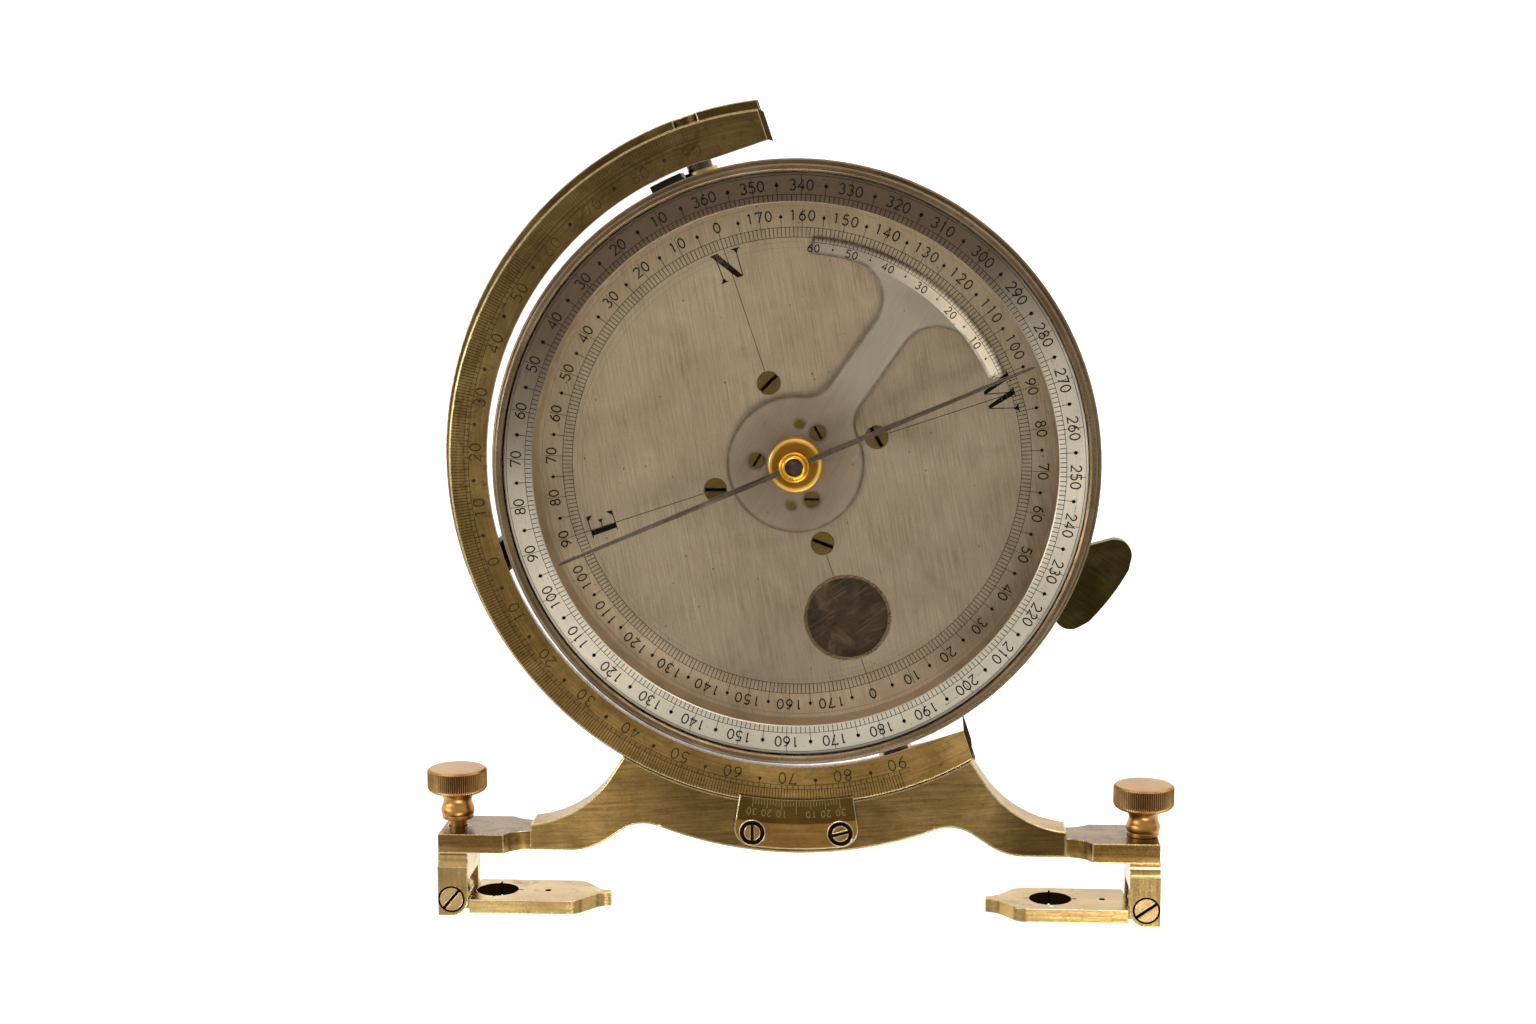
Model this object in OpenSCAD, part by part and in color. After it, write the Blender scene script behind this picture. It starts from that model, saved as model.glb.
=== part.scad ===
// Clinometer: a compass box on a tripod socket, a graduated C-shaped limb swinging on the
// box's north-south trunnions, and a sight frame that slides round the limb.
// Origin at the mouth of the tripod socket, +Z up along the spindle, dial facing up.

/* [Tripod socket and spindle] */
// Bore of the socket that goes over the tripod head
socket_bore_d = 19; // [14:0.5:24]
// Depth of that bore
socket_depth = 22; // [16:1:22]
// Height of the socket below its thrust flange
socket_len = 26; // [26:1:36]
// Wall of the socket
socket_wall = 4; // [2:0.5:6]
// Thickness of the socket's thrust flange
socket_flange_t = 2.7; // [2:0.1:4]
// Diameter of the spindle that the box turns on
spindle_d = 16; // [14:0.5:18]
// Diameter of the spindle's top flange, which carries the vernier
spindle_head_d = 26; // [25:0.5:27]

/* [Compass box] */
// Outside diameter of the box wall
box_d = 147.8; // [146.4:0.2:148]
// Thickness of the box wall
box_wall = 2.4; // [2.2:0.1:2.6]
// Thickness of the box floor
floor_t = 2.5; // [2:0.1:4]
// Room under the dial plate
under_dial = 11; // [11:0.5:14]
// Diameter of the central boss that the dial is screwed to
boss_d = 50; // [48:1:54]
// How far the bezel stands inside the outer face of the box wall
bezel_step = 1.25; // [1.1:0.05:1.4]
// Height of the bezel above its seat on the box
bezel_h = 4.75; // [4:0.25:6]

/* [Dial] */
// Thickness of the dial plate
dial_t = 1.5; // [1:0.1:2.5]
// Height of the raised degree ring above the dial plate
ring_h = 9; // [8:0.5:11]
// Radial width of the raised degree ring's face
ring_w = 7.05; // [6:0.05:8]
// Compass bearing line: direction of north on the dial, degrees anticlockwise from +X
north_a = 108.4; // [0:0.1:360]
// Radius on which the four dial screws lie
dial_screw_r = 20.8; // [20:0.1:22]
// Diameter of the dial screw heads
dial_screw_d = 5.8; // [5:0.1:6.2]
// Distance of the circular level from the centre
level_r = 40.3; // [38:0.1:43]
// Diameter of the level's glass
level_d = 20; // [16:0.5:22]
// Thickness of the level's rim
level_rim = 0.75; // [0.5:0.05:1.2]
// Thickness of the cover glass
glass_t = 0.9; // [0.8:0.1:1.2]

/* [Inside vernier] */
// Radius of the vernier's outer edge
vern_r = 55.5; // [54:0.1:57]
// Radial width of its bevelled arc
vern_band = 4.3; // [3:0.1:6]
// Angle that the arc spans
vern_span = 62.2; // [40:0.2:80]
// Direction of the arc's middle
vern_a = 54.6; // [0:0.1:360]
// Thickness of the vernier plate
vern_t = 1.2; // [0.8:0.1:1.6]
// Radius of the vernier's hub
vern_hub_r = 16.8; // [15.5:0.1:17.5]
// Width of the neck between hub and arc
vern_neck_w = 9.4; // [6:0.1:12]

/* [Needle] */
// Gap between a needle tip and the degree ring
needle_tip_gap = 0.5; // [0.4:0.1:8]
// Diameter of the needle's cap
cap_d = 7.5; // [6:0.1:9]
// Diameter of the brass seat of the pivot pin
seat_d = 13.5; // [11:0.1:15]

/* [Limb] */
// Gap between the box wall and the limb
limb_gap = 2.7; // [2.5:0.1:3.6]
// Radial width of the limb
limb_w = 9.6; // [8.4:0.1:11.4]
// Depth of the limb from face to back
limb_depth = 21.7; // [20:0.1:24]
// Depth of the limb's face below the raised degree ring
limb_drop = 10; // [9:0.5:11]
// How far the limb's rail stands out
rail_w = 2.6; // [2:0.1:3.5]
// Thickness of the rail
rail_t = 3; // [2:0.1:4]
// How far the limb's two ends run past the trunnion line
limb_past = 18.4; // [12:0.2:24]
// Diameter of the trunnion pins
trunnion_d = 6.3; // [5:0.1:7]
// Diameter of the collars round the trunnion pins
collar_d = 8.3; // [7.5:0.1:9]
// Depth of the trunnion line below the raised degree ring
trunnion_drop = 19; // [18:0.5:20]

/* [Sight frame] */
// Thickness of the frame from face to back
frame_t = 9.9; // [8:0.1:11]
// Radial width of the frame's saddle, outside the limb
saddle_w = 12.5; // [11:0.1:14]
// Angle from the frame's middle to the end of its saddle
saddle_half_a = 30.2; // [28:0.1:33]
// Half of the distance between the two arm joints
arm_joint_x = 67.3; // [66:0.1:69]
// Height of the frame's ends at the arm joints
frame_end_h = 6.3; // [5.6:0.1:7]
// Thickness of the keeper behind the rail
keeper_t = 2.9; // [2:0.1:4]
// Half width of the limb vernier plate at its lower edge
limb_vern_w = 15.7; // [14:0.1:18]
// Thickness of the limb vernier plate
limb_vern_t = 1.5; // [1:0.1:2]

/* [Sight arms] */
// Length of an arm beyond its joint
arm_l = 22.9; // [21:0.1:25]
// Length of the arm's curved neck
neck_l = 6.3; // [5.7:0.1:8]
// Thickness of the arm
arm_t = 4.8; // [4.2:0.1:5]
// Depth of the arm's block from front to back
arm_depth = 17.7; // [16:0.1:19]
// Distance of a thumb screw from the arm's end
thumb_in = 3.5; // [3.4:0.05:3.6]

/* [Thumb screws] */
// Diameter of the knurled head
thumb_head_d = 15.2; // [13:0.1:16]
// Height of the knurled head
thumb_head_h = 4.6; // [4:0.1:6]
// Height of the whole screw above the arm
thumb_h = 13; // [12:0.1:15]
// How far the left screw is unscrewed
thumb_slack = 2; // [0:0.1:3]

/* [Brackets and sight vanes] */
// Width of a bracket
bracket_w = 7.6; // [7.2:0.1:8]
// Distance of a vane's hinge from the bracket's outer side
hinge_in = 3.4; // [3.2:0.05:3.6]
// Depth of the vane hinges below the arm
hinge_drop = 12.1; // [12:0.1:12.6]
// Thickness of an ear of the bracket's fork
ear_t = 3.5; // [3:0.1:4.5]
// Diameter of the hinge screw heads
hinge_head_d = 6.3; // [5:0.1:6.6]
// Thickness of a sight vane
vane_t = 3.5; // [3:0.1:3.6]
// Length of a sight vane from its hinge to its tip
vane_len = 39.6; // [37:0.1:42]
// Distance from the hinge to the nearer sight hole
sight_near = 10.3; // [10.3:0.1:11]
// Distance from the hinge to the farther sight hole
sight_far = 23.3; // [22:0.1:25]
// Diameter of the window hole
window_d = 10.6; // [8:0.1:11]
// Diameter of the peep hole
peep_d = 1.6; // [1:0.1:2.4]

/* [Clamp] */
// Height of the split clamp collar under the box
clamp_h = 13; // [12:0.5:16]
// Diameter of the clamp collar
clamp_d = 28; // [26:0.5:30]
// Distance of the clamp screw from the spindle's axis
pinch_r = 17.5; // [17.5:0.1:19]
// Direction of the slit in the collar
slit_a = 53.6; // [0:0.1:360]
// Length of the clamp screw from the slit to the end of its wing
pinch_len = 85; // [80:0.5:92]
// Width of the screw's wing
wing_w = 27; // [22:0.5:28]
// Thickness of the screw's wing
wing_t = 3.2; // [2:0.1:4]

/* [Fits] */
// Radial clearance of a running fit
run_gap = 0.04; // [0.02:0.01:0.08]
// Gap between parts that pass each other
pass_gap = 0.3; // [0.2:0.05:0.4]
// Gap between flat faces that slide on each other
slide_gap = 0.1; // [0.06:0.01:0.15]

/* [Hidden] */
$fn = 96;
eps = 0.01;
big = 200;
// Clearance round pins, screws and glasses that are fixed in their seats
set_gap = 0.02;

// Heights, from the socket's mouth up
z_thrust = socket_len + socket_flange_t;
z_clamp = z_thrust + pass_gap;
z_floor = z_clamp + clamp_h;
z_seat = z_floor + floor_t + under_dial;
z_dial = z_seat + dial_t;
z_ring = z_dial + ring_h;
z_bezel = z_ring - 3;
z_top = z_bezel + bezel_h;
z_vern = z_dial + 2 * slide_gap;
z_vern_top = z_vern + vern_t;
z_trunnion = z_ring - trunnion_drop;
z_face = z_ring - limb_drop;
z_limb = z_face - limb_depth;
z_frame = z_face - frame_t;
z_rail = z_frame - slide_gap;
z_keeper = z_rail - rail_t - slide_gap - keeper_t;
z_arm = z_face - frame_t / 2 + 0.3;
z_pinch = z_clamp + 6;

// Socket and spindle
socket_r = socket_bore_d / 2 + socket_wall;
socket_flange_r = socket_r + 2.5;
spindle_r = spindle_d / 2;
head_r = spindle_head_d / 2;
z_head = z_vern - 4.6;
stud_r = 5;
stud_len = 4;

// Compass box
box_r = box_d / 2;
box_in = box_r - box_wall;
boss_r = boss_d / 2;
rim_h = 0.8;
ledge_w = 4;
trunnion_boss_r = 4.8;
trunnion_boss_in = box_in - 8.5;
dial_hole_r = head_r + pass_gap;
dial_shank_r = 1.3;
dial_screw_len = 6;

// Circular level
level_out_r = level_d / 2 + level_rim;
level_glass_t = 1;
z_level = z_dial - 4;
z_level_glass = z_dial - level_glass_t - 0.2;

// Raised ring, bezel and glass
bezel_r = box_r - bezel_step;
bezel_in = bezel_r - 1.85;
ring_top_ro = bezel_in - 0.15;
ring_ri = ring_top_ro - ring_w;
glass_r = bezel_in + 0.9;
z_glass = z_top - 0.4 - glass_t;

// Vernier fixings
vern_screw_r = 1.86;
vern_shank_r = 0.9;
vern_screw_len = 4;
vern_screw_at = 9.5;
vern_pin_r = 0.97;
vern_pin_at = 10.1;
vern_pin_a = 29.6;
vern_pin_len = 3;

// Needle and pivot
cap_h = 1.8;
needle_t = 1.4;
needle_a = 22.95;
needle_root_w = 1.5;
needle_tip_w = 0.6;
z_needle = z_glass - 0.45 - cap_h - needle_t;
spigot_r = 2.3;
cap_hollow = 1.2;
jewel_r = 1.9;
jewel_up = 0.7;
z_jewel = z_needle + needle_t + jewel_up;
pin_base_r = 1.5;
pin_r = 0.9;
pin_foot = 4;
seat_h = 2.6;
seat_dish = 1.4;

// Limb
limb_ri = box_r + limb_gap;
limb_ro = limb_ri + limb_w;

// Trunnions
trunnion_r = trunnion_d / 2;
trunnion_sink = 1;
collar_r = collar_d / 2;
collar_seat = box_r - 0.2;
collar_out = limb_ri - 1.5;

// Lugs on the box wall
lug_out = limb_ri - 0.6;
lug_w = 7.5;
lug_up = 5;
foot_t = 3;
foot_end = lug_out + 5;
stop_w = 8.2;
stop_a = asin((collar_r + stop_w / 2 + pass_gap) / box_r);
lug_head_r = 1.6;
lug_shank_r = 0.8;
lug_screw_len = 4;
// Direction from north and height over the trunnion line of each lug screw
lug_screws_at = [[90, -2.5], [90, 2.7], [stop_a, 0]];

// Sight frame
frame_ri = limb_ro + run_gap;
frame_ro = limb_ro + saddle_w;
frame_low = frame_ro + 0.1;
rail_ro = limb_ro + rail_w;
scoop_r = 27.5;
scoop = [arm_joint_x + 2.7, -frame_low + frame_end_h + scoop_r];
dip_r = 10;
dip_d = frame_ro + dip_r;
dip_x = arm_joint_x - 28.85;
dip = [dip_x, -sqrt(dip_d * dip_d - dip_x * dip_x)];
bump_x = arm_joint_x - 10.3;
bump_run = bump_x - dip_x;
bump_drop = -frame_low - dip[1];
// The bump's round is no wider than the dip beside it leaves room for
bump_room = (bump_run * bump_run + bump_drop * bump_drop - dip_r * dip_r) / (2 * (dip_r - bump_drop));
bump_r = min(16, 0.92 * bump_room);
bump = [bump_x, -frame_low + bump_r];
tenon_w = 2.4;
tenon_l = 4;
tenon_h = 6;
keeper_out = frame_ro - 1.2;
keeper_half_a = saddle_half_a - 2;
keeper_screw_at = (rail_ro + keeper_out) / 2;
keeper_head_r = 2.4;
keeper_shank_r = 1.25;
keeper_screw_len = 11;
limb_vern_ri = limb_ro - 1.3;
limb_vern_ro = frame_ro - 1.4;
limb_vern_screw = [limb_vern_w - 4.65, 4.1 - limb_vern_ro];
limb_vern_head_r = 2.25;
limb_vern_shank_r = 1.2;
limb_vern_sink = 1;

// Arms and brackets
arm_y = -frame_low;
arm_end_x = arm_joint_x + arm_l;
thumb_x = arm_end_x - thumb_in;
block_front = z_arm + arm_depth / 2;
block_back = z_arm - arm_depth / 2;
neck_back = z_frame - 0.6;
stem_r = 2.2;
stem_len = arm_t + 6;
bracket_out = arm_end_x + 0.3;
bracket_in = bracket_out - bracket_w;
hinge_x = bracket_out - hinge_in;
hinge_y = arm_y - hinge_drop;
ear_r = hinge_x - bracket_in;
slot_top = hinge_y + 4.9;
hinge_shank_r = 1.6;
hinge_sink = 1.5;
key_h = 1.2;
key_w = 3;

// Sight vanes
vane_start = ear_r + pass_gap;
vane_shoulder = 29.2;
vane_tip_w = 2.4;
notch_w = 0.5;
notch_l = 1.4;

// Clamp
clamp_r = clamp_d / 2;
lug_reach = pinch_r + 3.5;
clamp_flange_t = 2.5;
collar_screw_at = 17;
collar_shank_r = 1.2;
collar_screw_in = 4;
slit_w = 1.5;
lug_half = 7;
clamp_flange_r = norm([lug_reach, lug_half]) + 0.8;
pinch_shank_r = 1.8;
wing_len = 19;

function polar(r, a) = [r * cos(a), r * sin(a)];
// Points of an arc round c, from angle a0 to a1
function arc(c, r, a0, a1, n) = [for (i = [0:n]) c + polar(r, a0 + (a1 - a0) * i / n)];
// Radius of an arc that starts level and rises h over a run of l
function flare_r(l, h) = (l * l + h * h) / (2 * h);

// A slotted countersunk screw: head top at the origin, shank down along -Z
module csk_screw(r, shank_r, len, slot_a = 0, slot_w = 0.8, slot_d = 0.6) {
    difference() {
        rotate_extrude() polygon([
            [0, -len], [shank_r, -len], [shank_r, shank_r - r - 0.4],
            [r, -0.4], [r, 0], [0, 0]
        ]);
        rotate([0, 0, slot_a]) translate([-r - 1, -slot_w / 2, -slot_d])
            cube([2 * r + 2, slot_w, slot_d + 1]);
    }
}

// The countersunk hole for that screw
module csk_hole(r, shank_r, len) {
    rotate_extrude() polygon([
        [0, -len - set_gap], [shank_r + set_gap, -len - set_gap],
        [shank_r + set_gap, shank_r - r - 0.4 - set_gap],
        [r + set_gap, -0.4 - set_gap], [r + set_gap, 1], [0, 1]
    ]);
}

// A slotted cheese-head screw: seat of the head at the origin, head up, shank down
module cheese_screw(r, head_h, shank_r, len, slot_a = 0, slot_w = 0.8) {
    difference() {
        rotate_extrude() polygon([
            [0, -len], [shank_r, -len], [shank_r, 0], [r, 0],
            [r, head_h - 0.25], [r - 0.25, head_h], [0, head_h]
        ]);
        rotate([0, 0, slot_a]) translate([-r - 1, -slot_w / 2, head_h - 0.6])
            cube([2 * r + 2, slot_w, 2]);
    }
}

// Turns +X towards north on the dial, or away from it
module toward_north() {
    rotate([0, 0, north_a]) children();
}
module toward_south() {
    rotate([0, 0, north_a + 180]) children();
}

// A cylinder lying along the trunnion line, from radius r0 to r1 on the north side
module trunnion_rod(r, r0, r1) {
    translate([r0, 0, z_trunnion]) rotate([0, 90, 0]) cylinder(r = r, h = r1 - r0);
}

// A sector round -Y that reaches well past the part
module lower_sector(half_a) {
    polygon([[0, 0], polar(big, 270 - half_a), polar(big, 270 + half_a)]);
}

// Places something at each of the vernier's three screws
module at_vernier_screws() {
    for (a = [0:120:240]) rotate([0, 0, vern_a + a]) translate([vern_screw_at, 0, z_vern_top])
        children();
}

// Places something at each of the vernier's two steady pins
module at_vernier_pins() {
    for (a = [0, 180]) rotate([0, 0, vern_a + vern_pin_a + a])
        translate([vern_pin_at, 0, z_vern - vern_pin_len]) children();
}

// Places something at each of the clamp collar's screws, on the underside of its flange
module at_collar_screws() {
    for (a = [45:90:315]) rotate([0, 0, slit_a + a])
        translate([collar_screw_at, 0, z_floor - clamp_flange_t]) mirror([0, 0, 1]) children();
}

// Places something, its axis outward, at each of the lug screws on the box wall
module at_lug_screws() {
    for (s = lug_screws_at) toward_north() rotate([0, 0, s[0]])
        translate([lug_out - 0.2, 0, z_trunnion + s[1]]) rotate([0, 90, 0]) children();
}

// Places something at each of the keeper's screws, which enter from behind
module at_keeper_screws() {
    for (a = [-20, 0, 20]) rotate([0, 0, 270 + a]) translate([keeper_screw_at, 0, z_keeper])
        mirror([0, 0, 1]) children();
}

// Places something, +Z along the clamp screw towards its wing, with the slit at z = 0
module pinch_place() {
    rotate([0, 0, slit_a]) translate([pinch_r, 0, z_pinch]) rotate([90, 0, 0]) children();
}

module level_place() {
    toward_south() translate([level_r, 0, 0]) children();
}

module tripod_socket() {
    color("#7d6433") difference() {
        union() {
            cylinder(r = socket_r, h = socket_len + eps);
            translate([0, 0, socket_len]) cylinder(r = socket_flange_r, h = socket_flange_t);
        }
        translate([0, 0, -eps]) cylinder(d = socket_bore_d, h = socket_depth + eps);
        translate([0, 0, z_thrust - stud_len - set_gap]) cylinder(r = stud_r + set_gap, h = stud_len + 1);
    }
}

module spindle() {
    color("#8a8a86") difference() {
        union() {
            translate([0, 0, z_thrust - stud_len]) cylinder(r = stud_r, h = stud_len + eps);
            translate([0, 0, z_thrust]) cylinder(r = spindle_r, h = z_head - z_thrust + eps);
            translate([0, 0, z_head]) cylinder(r = head_r, h = z_vern - z_head);
        }
        translate([0, 0, z_vern - pin_foot - set_gap]) cylinder(r = pin_base_r + set_gap, h = pin_foot + 1);
        at_vernier_screws() csk_hole(vern_screw_r, vern_shank_r, vern_screw_len);
        at_vernier_pins() cylinder(r = vern_pin_r + set_gap, h = vern_pin_len + 1);
    }
}

// Plan of the vernier, its arc to the right of the hub
module vernier_plan() {
    half = vern_span / 2;
    neck = vern_neck_w / 2;
    arc_in = vern_r - vern_band;
    lobe_r = 9.1;
    lobe = [sqrt(pow(arc_in - lobe_r, 2) - pow(neck + lobe_r, 2)), neck + lobe_r];
    foot_r = 7;
    foot = [sqrt(pow(vern_hub_r + foot_r, 2) - pow(neck + foot_r, 2)), neck + foot_r];
    circle(r = vern_hub_r);
    difference() {
        polygon([[0, 0], polar(big, -half), polar(big, half)]);
        circle(r = arc_in);
    }
    translate([0, -neck]) square([arc_in + 1, 2 * neck]);
    for (s = [0, 1]) mirror([0, s]) {
        difference() {
            polygon([[lobe[0], 0], [arc_in + 1, 0], (arc_in + 1) * lobe / norm(lobe), lobe]);
            translate(lobe) circle(r = lobe_r);
        }
        difference() {
            polygon([[0, 0], [foot[0], 0], foot]);
            translate(foot) circle(r = foot_r);
        }
    }
}

module vernier_plate() {
    color("#c9c2b0") difference() {
        intersection() {
            rotate([0, 0, vern_a]) translate([0, 0, z_vern]) linear_extrude(vern_t) vernier_plan();
            translate([0, 0, z_vern]) rotate_extrude() polygon([
                [0, 0], [vern_r, 0], [vern_r, 0.3], [vern_r - vern_band, vern_t], [0, vern_t]
            ]);
        }
        translate([0, 0, z_vern - 1]) cylinder(r = pin_base_r + set_gap, h = vern_t + 2);
        at_vernier_screws() csk_hole(vern_screw_r, vern_shank_r, vern_screw_len);
        at_vernier_pins() cylinder(r = vern_pin_r + set_gap, h = vern_pin_len + vern_t + 1);
    }
}

module vernier_screws() {
    color("#77705c") at_vernier_screws()
        csk_screw(vern_screw_r, vern_shank_r, vern_screw_len, 65, 0.5, 0.5);
}

module vernier_pins() {
    color("#8d7a4c") at_vernier_pins() cylinder(r = vern_pin_r, h = vern_pin_len + vern_t);
}

// Dished brass seat that steadies the pivot pin
module pivot_seat() {
    seat_r = seat_d / 2;
    dish_r = seat_r - 1.1;
    color("#b8862f") translate([0, 0, z_vern_top]) rotate_extrude() polygon(concat(
        [[pin_base_r + set_gap, 0], [seat_r, 0], [seat_r, seat_h - 0.5], [seat_r - 0.4, seat_h]],
        [for (i = [0:5]) [dish_r - i * 0.75, seat_h - seat_dish * sin(18 * i)]],
        [[pin_base_r + set_gap, seat_h - seat_dish]]
    ));
}

module pivot_pin() {
    color("#9aa0a4") rotate_extrude() polygon([
        [0, z_vern - pin_foot], [pin_base_r, z_vern - pin_foot],
        [pin_base_r, z_vern_top + seat_h - seat_dish + 0.3], [pin_r, z_vern_top + seat_h],
        [pin_r * 0.6, z_needle], [0.1, z_jewel - 0.06], [0, z_jewel - 0.05]
    ]);
}

module needle() {
    half = ring_ri - needle_tip_gap;
    root = needle_root_w / 2;
    tip = needle_tip_w / 2;
    color("#6f6f73") rotate([0, 0, needle_a]) translate([0, 0, z_needle]) linear_extrude(needle_t)
        difference() {
            union() {
                polygon([
                    [-half, 0], [-half + 1.2, -tip], [0, -root], [half - 1.2, -tip],
                    [half, 0], [half - 1.2, tip], [0, root], [-half + 1.2, tip]
                ]);
                circle(r = cap_d / 2 - 0.5);
            }
            circle(r = spigot_r + set_gap);
        }
}

// Turned cap: a spigot through the needle's eye and a ringed head over it
module needle_cap() {
    cap_r = cap_d / 2;
    color("#c9973a") translate([0, 0, z_needle + needle_t]) rotate_extrude() polygon([
        [cap_hollow, -needle_t], [spigot_r, -needle_t], [spigot_r, 0], [cap_r - 0.3, 0],
        [cap_r, 0.3], [cap_r, cap_h - 0.8], [cap_r - 0.3, cap_h - 0.25], [cap_r - 0.7, cap_h],
        [cap_r - 1.1, cap_h - 0.2], [jewel_r + 0.5, cap_h - 0.4], [jewel_r + 0.3, cap_h - 0.2],
        [jewel_r + set_gap, cap_h - 0.2], [jewel_r + set_gap, jewel_up], [cap_hollow, jewel_up]
    ]);
}

module cap_jewel() {
    color("#3a2b24") translate([0, 0, z_jewel]) cylinder(r = jewel_r, h = cap_h - jewel_up - 0.3);
}

// Turned box: floor, wall rebated for the bezel, ledge under the dial, central boss
module compass_box() {
    rim = bezel_r + 0.1;
    color("#6d5530") difference() {
        union() {
            rotate_extrude() polygon([
                [spindle_r - 1, z_floor], [box_r - 1, z_floor], [box_r, z_floor + 1],
                [box_r, z_bezel + rim_h - 0.3], [box_r - 0.3, z_bezel + rim_h],
                [rim, z_bezel + rim_h], [rim, z_bezel], [box_in, z_bezel], [box_in, z_seat],
                [box_in - ledge_w, z_seat], [box_in - ledge_w, z_seat - 1.2],
                [box_in, z_seat - 1.2 - ledge_w], [box_in, z_floor + floor_t],
                [spindle_r - 1, z_floor + floor_t]
            ]);
            translate([0, 0, z_floor]) cylinder(r = boss_r, h = z_seat - z_floor);
            toward_north() trunnion_rod(trunnion_boss_r, trunnion_boss_in, box_in + 1);
            toward_south() trunnion_rod(trunnion_boss_r, trunnion_boss_in, box_in + 1);
        }
        translate([0, 0, z_floor - 1]) cylinder(r = spindle_r + run_gap, h = z_seat - z_floor + 2);
        translate([0, 0, z_head - slide_gap]) cylinder(r = dial_hole_r, h = z_seat - z_head + 2);
        at_dial_screws() csk_hole(dial_screw_d / 2, dial_shank_r, dial_screw_len);
        at_collar_screws() translate([0, 0, -clamp_flange_t - collar_screw_in])
            cylinder(r = collar_shank_r + set_gap, h = collar_screw_in + 1);
        toward_north() trunnion_seat();
        toward_south() trunnion_seat();
        at_lug_screws() csk_hole(lug_head_r, lug_shank_r, lug_screw_len);
    }
}

// Hole through the box wall for a trunnion pin, spotfaced for its collar
module trunnion_seat() {
    trunnion_rod(trunnion_r + set_gap, trunnion_boss_in - 1, box_r + 1);
    trunnion_rod(collar_r + set_gap, collar_seat, box_r + 1);
}

// Places something at each of the four dial screws, north first
module at_dial_screws() {
    for (i = [0:3]) rotate([0, 0, north_a + 90 * i]) translate([dial_screw_r, 0, z_dial]) children();
}

module dial_plate() {
    color("#a69b84") difference() {
        translate([0, 0, z_seat]) cylinder(r = box_in - 0.15, h = dial_t);
        translate([0, 0, z_seat - 1]) cylinder(r = dial_hole_r, h = dial_t + 2);
        at_dial_screws() csk_hole(dial_screw_d / 2, dial_shank_r, dial_screw_len);
        level_place() translate([0, 0, z_seat - 1]) cylinder(r = level_out_r + set_gap, h = dial_t + 2);
    }
}

module dial_screws() {
    slots = [45, 0, -20, -60];
    color("#6b5c34") for (i = [0:3]) rotate([0, 0, north_a + 90 * i])
        translate([dial_screw_r, 0, z_dial])
            csk_screw(dial_screw_d / 2, dial_shank_r, dial_screw_len, slots[i] - north_a - 90 * i);
}

module degree_ring() {
    ring_ro = box_in - 0.2;
    color("#b3a791") rotate_extrude() polygon([
        [ring_ri, z_dial], [ring_ro, z_dial], [ring_ro, z_bezel], [ring_top_ro, z_bezel],
        [ring_top_ro, z_ring], [ring_ri + 0.2, z_ring], [ring_ri, z_ring - 0.2]
    ]);
}

module bezel() {
    color("#7c5a3c") rotate_extrude() polygon([
        [bezel_in, z_bezel], [bezel_r, z_bezel], [bezel_r, z_top - 0.4], [bezel_r - 0.4, z_top],
        [bezel_in + 0.5, z_top], [bezel_in, z_glass + glass_t], [glass_r, z_glass + glass_t],
        [glass_r, z_glass], [bezel_in, z_glass]
    ]);
}

module cover_glass() {
    color("#dfeaf0", 0.3) translate([0, 0, z_glass]) cylinder(r = glass_r - set_gap, h = glass_t);
}

// Cup of the circular level, standing on the box floor
module level_cup() {
    color("#5c4a30") level_place() difference() {
        translate([0, 0, z_floor + floor_t]) cylinder(r = level_out_r, h = z_dial - z_floor - floor_t);
        translate([0, 0, z_level]) cylinder(d = level_d, h = z_dial - z_level + 1);
    }
}

module level_fluid() {
    color("#4a3a22") level_place() translate([0, 0, z_level])
        cylinder(r = level_d / 2 - set_gap, h = z_level_glass - z_level);
}

module level_glass() {
    color("#6f5e45", 0.6) level_place() translate([0, 0, z_level_glass])
        cylinder(r = level_d / 2 - set_gap, h = level_glass_t);
}

// Split collar under the box, pinched on the spindle by a long screw
module clamp_collar() {
    color("#6d5530") difference() {
        rotate([0, 0, slit_a]) difference() {
            union() {
                translate([0, 0, z_clamp]) cylinder(r = clamp_r, h = clamp_h);
                translate([0, 0, z_floor - clamp_flange_t])
                    cylinder(r = clamp_flange_r, h = clamp_flange_t);
                translate([0, -lug_half, z_clamp]) cube([lug_reach, 2 * lug_half, clamp_h - 1]);
            }
            translate([0, 0, z_clamp - 1]) cylinder(r = spindle_r + run_gap, h = clamp_h + 2);
            translate([0, -slit_w / 2, z_clamp - 1]) cube([big, slit_w, clamp_h + 2]);
        }
        pinch_place() translate([0, 0, -lug_half - 1])
            cylinder(r = pinch_shank_r + run_gap, h = 2 * lug_half + 2);
        at_collar_screws() translate([0, 0, -clamp_flange_t - 1])
            cylinder(r = collar_shank_r + set_gap, h = clamp_flange_t + 2);
    }
}

module collar_screws() {
    color("#6b5c34") at_collar_screws()
        cheese_screw(2, 1.4, collar_shank_r, clamp_flange_t + collar_screw_in - 0.2);
}

// Outline of the wing, its root at the origin and its far edge at x = wing_len
module wing_plan() {
    corner_r = 4.2;
    half = wing_w / 2;
    side = concat(
        [[0, 2.6], [2.5, 3.4], [5, 5.3], [7.2, 8.2]],
        arc([wing_len - corner_r - 1.4, half - corner_r], corner_r, 140, 20, 10),
        arc([wing_len - 60, 0], 60, 8, 0, 6)
    );
    polygon(concat(side, [for (i = [len(side) - 2:-1:0]) [side[i][0], -side[i][1]]]));
}

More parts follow.
